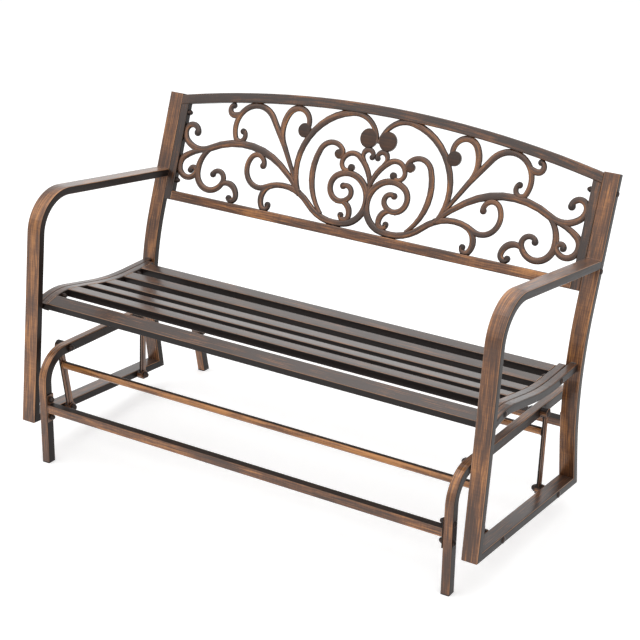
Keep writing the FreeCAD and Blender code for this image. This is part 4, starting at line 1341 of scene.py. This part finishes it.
def heading_way(heading):
    return Vector((math.cos(heading), math.sin(heading), 0))


def left_of(heading):
    return Vector((-math.sin(heading), math.cos(heading), 0))


def bar_section(shape, start, heading, width, depth):
    """The end of a cast bar: flat behind, crowned in front."""
    before = set(shape.faces)
    verts = rectangle(shape, width, depth)
    round_off(shape, verts[:2], "VERTICES", BACK_ROUNDING, 2)
    front = [vert for vert in verts[2:] if vert.is_valid]
    round_off(shape, front, "VERTICES", CROWN_ROUNDING, 5)
    across = heading_way(heading).cross(Z_AXIS)
    return set_end(shape, before, width, depth, start, across, Z_AXIS)


def width_share(share, tip_start):
    """A bar's width at a share of its length, against its greatest width."""
    start = TIP_SHARE if tip_start else START_SHARE
    swell = min(1.0, share / SWELLED)
    fade = max(0.0, (share - FADES) / (1 - FADES))
    return start + (1 - start) * swell - (1 - TIP_SHARE) * fade


def cast_bar(shape, start, heading, greatest, tip_start, bends):
    """Sweep a bar through its bends; it swells from its start, then fades to a round tip."""
    here, way = plan(*start), math.radians(heading)
    depth = bench().back.bar_depth * (THICKNESS_BASE + THICKNESS_PER_WIDTH * greatest * MM)
    begin = travelled = brush_start(here)
    whole = sum(radius * math.radians(abs(turn)) for radius, turn in bends) * MM
    share = width_share(0.0, tip_start)
    if tip_start:
        bulb(shape, here, greatest * MM * share / 2, depth)
        face = bar_section(shape, here, way, greatest * MM * share, depth)
    else:
        forward = heading_way(way)
        face = bar_section(shape, here - forward * LEAD_IN, way, greatest * MM * share, depth)
        face, travelled = run_on(shape, face, forward, LEAD_IN, travelled)
        begin = travelled
    for radius, turn in bends:
        sign = math.copysign(1, turn)
        reach = radius * MM * sign
        centre = here + left_of(way) * reach
        steps = max(2, math.ceil(abs(turn) / CAST_STEP))
        step = math.radians(turn) / steps
        for _ in range(steps):
            face, travelled = bend_on(
                shape, face, centre, Z_AXIS, step, radius * MM, travelled, math.tau
            )
            way += step
            here = centre - left_of(way) * reach
            new_share = width_share((travelled - begin) / whole, tip_start)
            ratio = new_share / share
            bmesh.ops.scale(
                shape, vec=(ratio, ratio, 1), space=Matrix.Translation(-here),
                verts=list(face.verts),
            )
            share = new_share
    half = greatest * MM * share / 2
    bulb(shape, here + left_of(way) * sign * half * (BULB_SHARE - 1), half, depth)


def bulb(shape, centre, half, depth):
    """The round end of a scroll."""
    radius = half * BULB_SHARE
    disc(shape, centre, radius, depth / 2 * BULB_THICKNESS, radius * BULB_RIM)


def disc(shape, centre, radius, half, rim):
    """A round cast disc with a flat face and a rounded rim, brushed with copper all over."""
    before = set(shape.verts)
    turned(shape, rounded_disc(-half, half, radius, rim), centre, Z_AXIS, DISC_STEPS)
    mark_alike(shape, before, DISC_STREAKS, (0, DISC_SHADE, 0))


class ScrollworkOperator(bpy.types.Operator):
    """Cast the scroll panel of the back"""

    bl_idname = "glider_bench.scrollwork"
    bl_label = "Scrollwork"

    def execute(self, context):
        back = bench().back
        half = back.bar_depth / 2
        shape = new_shape()
        for bar in SCROLLS.values():
            cast_bar(shape, *bar)
        for centre, radius in BOSSES:
            disc(shape, plan(*centre), radius * MM, half + BOSS_STAND, BOSS_RIM)
        bmesh.ops.scale(
            shape, vec=(1, STRETCH, 1), space=Matrix.Translation(-plan(0, MIDDLE)),
            verts=shape.verts[:],
        )
        # the welds to the bottom rail, and those under the arch of the top rail
        top = back.height - back.rail / 2 - back.arch
        reach = back.arch - back.rail / 2
        spots = [(x, back.rail / MM) for x in BOTTOM_WELDS]
        spots += [(x, (top + math.sqrt(reach ** 2 - (x * MM) ** 2)) / MM) for x in TOP_WELDS]
        for spot in spots:
            disc(shape, plan(*spot), WELD_SPOT * MM, half * WELD_SPOT_THICKNESS, BOSS_RIM)
        whole = shape.verts[:] + shape.edges[:] + shape.faces[:]
        bmesh.ops.mirror(
            shape, geom=whole, matrix=Matrix.Identity(4), merge_dist=-1, axis="X"
        )
        bmesh.ops.transform(shape, matrix=frame_matrix(*panel_frame()), verts=shape.verts[:])
        finish_piece(
            "back_scrollwork_casting", shape, "back_scroll_panel", "casting",
            sharp=CASTING_SHARP, seated=CASTING_SEATED,
        )
        return {"FINISHED"}


# Bolts and nuts
def domed(outline, height, radius):
    """Profile of a dome, for turned."""
    return [(rise * height, share * radius) for rise, share in outline]


def cap_nut(shape, place, face_x, sign, radius, total):
    """A hexagon nut with a domed cap that points to the middle of the bench."""
    hexagon = total * HEXAGON_SHARE
    before = set(shape.verts)
    made = bmesh.ops.create_cone(
        shape, cap_ends=True, segments=6, radius1=radius, radius2=radius, depth=hexagon,
    )["verts"]
    edges = {edge for vert in made for edge in vert.link_edges}
    round_off(shape, list(edges), "EDGES", NUT_EDGE, 2)
    body = [vert for vert in shape.verts if vert not in before]
    seat = side(place, (face_x - hexagon / 2) * sign)
    turn = Matrix.Rotation(math.radians(90), 4, "Y")
    bmesh.ops.transform(shape, matrix=Matrix.Translation(seat) @ turn, verts=body)
    cap = domed(CAP, total - hexagon, radius * CAP_SHARE)
    turned(shape, cap, side(place, (face_x - hexagon) * sign), X_AXIS * -sign, CAP_STEPS)


def fasten(name, body, places, head_height, head, nut, shank):
    """A set of bolts and a set of cap nuts, alike on both sides of the bench."""
    bolts, nuts = new_shape(), new_shape()
    total = bench().fasteners.nut_length
    nut_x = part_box(f"{name}_nuts")[1][0]
    head_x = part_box(f"{name}_bolts")[1][0] - head_height
    start_x = nut_x - total * SHANK_SHARE
    for place in places:
        for _, sign in SIDES:
            way = X_AXIS * sign
            dome = domed(DOME, head_height, head)
            turned(bolts, dome, side(place, head_x * sign), way, HEAD_STEPS)
            rod = cylinder(head_x - start_x, shank)
            turned(bolts, rod, side(place, start_x * sign), way, SHANK_STEPS)
            cap_nut(nuts, place, nut_x, sign, nut, total)
    finish_piece(f"{name}_bolt_set", bolts, f"{name}_bolts", "bolt", body)
    finish_piece(f"{name}_cap_nut_set", nuts, f"{name}_nuts", "bolt", body)


class FastenersOperator(bpy.types.Operator):
    """Put in the bolts and cap nuts"""

    bl_idname = "glider_bench.fasteners"
    bl_label = "Bolts and Nuts"

    def execute(self, context):
        sizes, rockers = bench().fasteners, bench().rockers
        small = (sizes.head_length, sizes.head, sizes.nut, sizes.shank)
        pivot = (sizes.pivot_head, sizes.pivot_nut, sizes.pivot_shank)
        low = [Vector(rockers.front_low), Vector(rockers.rear_low)]
        top = [Vector(rockers.front_top), Vector(rockers.rear_top)]
        fasten("stretcher", "base", stretcher_bolt_places(), *small)
        fasten("seat", "seat", seat_bolt_places(), *small)
        fasten("back", "seat", back_bolt_places(), *small)
        fasten("low_pivot", "seat", low, sizes.head_length, *pivot)
        fasten("top_pivot", "base", top, sizes.pivot_head_length, *pivot)
        return {"FINISHED"}


# The studio
class StageOperator(bpy.types.Operator):
    """Set the floor, the soft lamps, the white surroundings and the camera"""

    bl_idname = "glider_bench.stage"
    bl_label = "Stage"

    def execute(self, context):
        self.lay_floor(context)
        for name, (place, size, power) in LAMPS.items():
            data = bpy.data.lights.new(name, "AREA")
            data.shape = "SQUARE"
            data.size = size
            data.energy = power
            lamp = bpy.data.objects.new(name, data)
            lamp.location = place
            lamp.rotation_euler = (LAMP_AIM - Vector(place)).to_track_quat("-Z", "Y").to_euler()
            context.collection.objects.link(lamp)
        self.light_surroundings(context)
        self.place_camera(context)
        context.scene.view_settings.view_transform = "Standard"
        return {"FINISHED"}

    def lay_floor(self, context):
        shape = bmesh.new()
        bmesh.ops.create_circle(shape, cap_ends=True, segments=96, radius=FLOOR_RADIUS)
        mesh = bpy.data.meshes.new("studio_floor")
        shape.to_mesh(mesh)
        shape.free()
        mesh.materials.append(painted_floor())
        floor = bpy.data.objects.new("studio_floor", mesh)
        context.collection.objects.link(floor)

    def light_surroundings(self, context):
        """White for the camera, gloss and transmission, and softer light on dull faces."""
        world = context.scene.world or bpy.data.worlds.new("white studio")
        context.scene.world = world
        world.use_nodes = True
        tree = world.node_tree
        tree.nodes.clear()
        bright = ray_is(tree, "Is Camera Ray", "Is Glossy Ray", "Is Transmission Ray")
        level = add_node(tree, "ShaderNodeMapRange", Value=bright, _3=SURROUNDINGS, _4=1.0)
        sky = add_node(tree, "ShaderNodeBackground", Color=(1, 1, 1, 1), Strength=level)
        add_node(tree, "ShaderNodeOutputWorld", Surface=sky)

    def place_camera(self, context):
        view = bench().view
        data = bpy.data.cameras.new("photograph")
        data.sensor_width = SENSOR
        data.lens = view.lens
        data.shift_x, data.shift_y = view.shift
        camera = bpy.data.objects.new("photograph", data)
        camera.matrix_world = (
            Matrix.Translation(view.place)
            @ Matrix.Rotation(view.azimuth, 4, "Z")
            @ Matrix.Rotation(math.radians(90) - view.elevation, 4, "X")
            @ Matrix.Rotation(view.roll, 4, "Z")
        )
        context.collection.objects.link(camera)
        context.scene.camera = camera


OPERATORS = (
    BaseSidesOperator, FootPlugsOperator, StretchersOperator, RockersOperator,
    SideFramesOperator, SeatBarsOperator, SlatsOperator, BackFrameOperator,
    ScrollworkOperator, FastenersOperator, StageOperator,
)


class BenchPanel(bpy.types.Panel):
    """Buttons that build the bench, piece by piece"""

    bl_idname = "GLIDER_PT_bench"
    bl_label = "Glider Bench"
    bl_space_type = "VIEW_3D"
    bl_region_type = "UI"
    bl_category = "Glider Bench"

    def draw(self, context):
        for operator in OPERATORS:
            self.layout.operator(operator.bl_idname)


GROUPS = (
    TubeSizes, BaseSizes, RockerSizes, SideSizes, SeatSizes, BackSizes, FastenerSizes,
    FinishColours, ViewSettings, BenchSettings,
)


def register():
    for item in (*GROUPS, *OPERATORS, BenchPanel):
        bpy.utils.register_class(item)
    bpy.types.Scene.glider_bench = PointerProperty(type=BenchSettings)


def unregister():
    del bpy.types.Scene.glider_bench
    for item in reversed((*GROUPS, *OPERATORS, BenchPanel)):
        bpy.utils.unregister_class(item)


def main():
    register()
    bpy.ops.glider_bench.base_sides()
    bpy.ops.glider_bench.foot_plugs()
    bpy.ops.glider_bench.stretchers()
    bpy.ops.glider_bench.rockers()
    bpy.ops.glider_bench.side_frames()
    bpy.ops.glider_bench.seat_bars()
    bpy.ops.glider_bench.slats()
    bpy.ops.glider_bench.back_frame()
    bpy.ops.glider_bench.scrollwork()
    bpy.ops.glider_bench.fasteners()
    bpy.ops.glider_bench.stage()


if __name__ == "__main__":
    main()
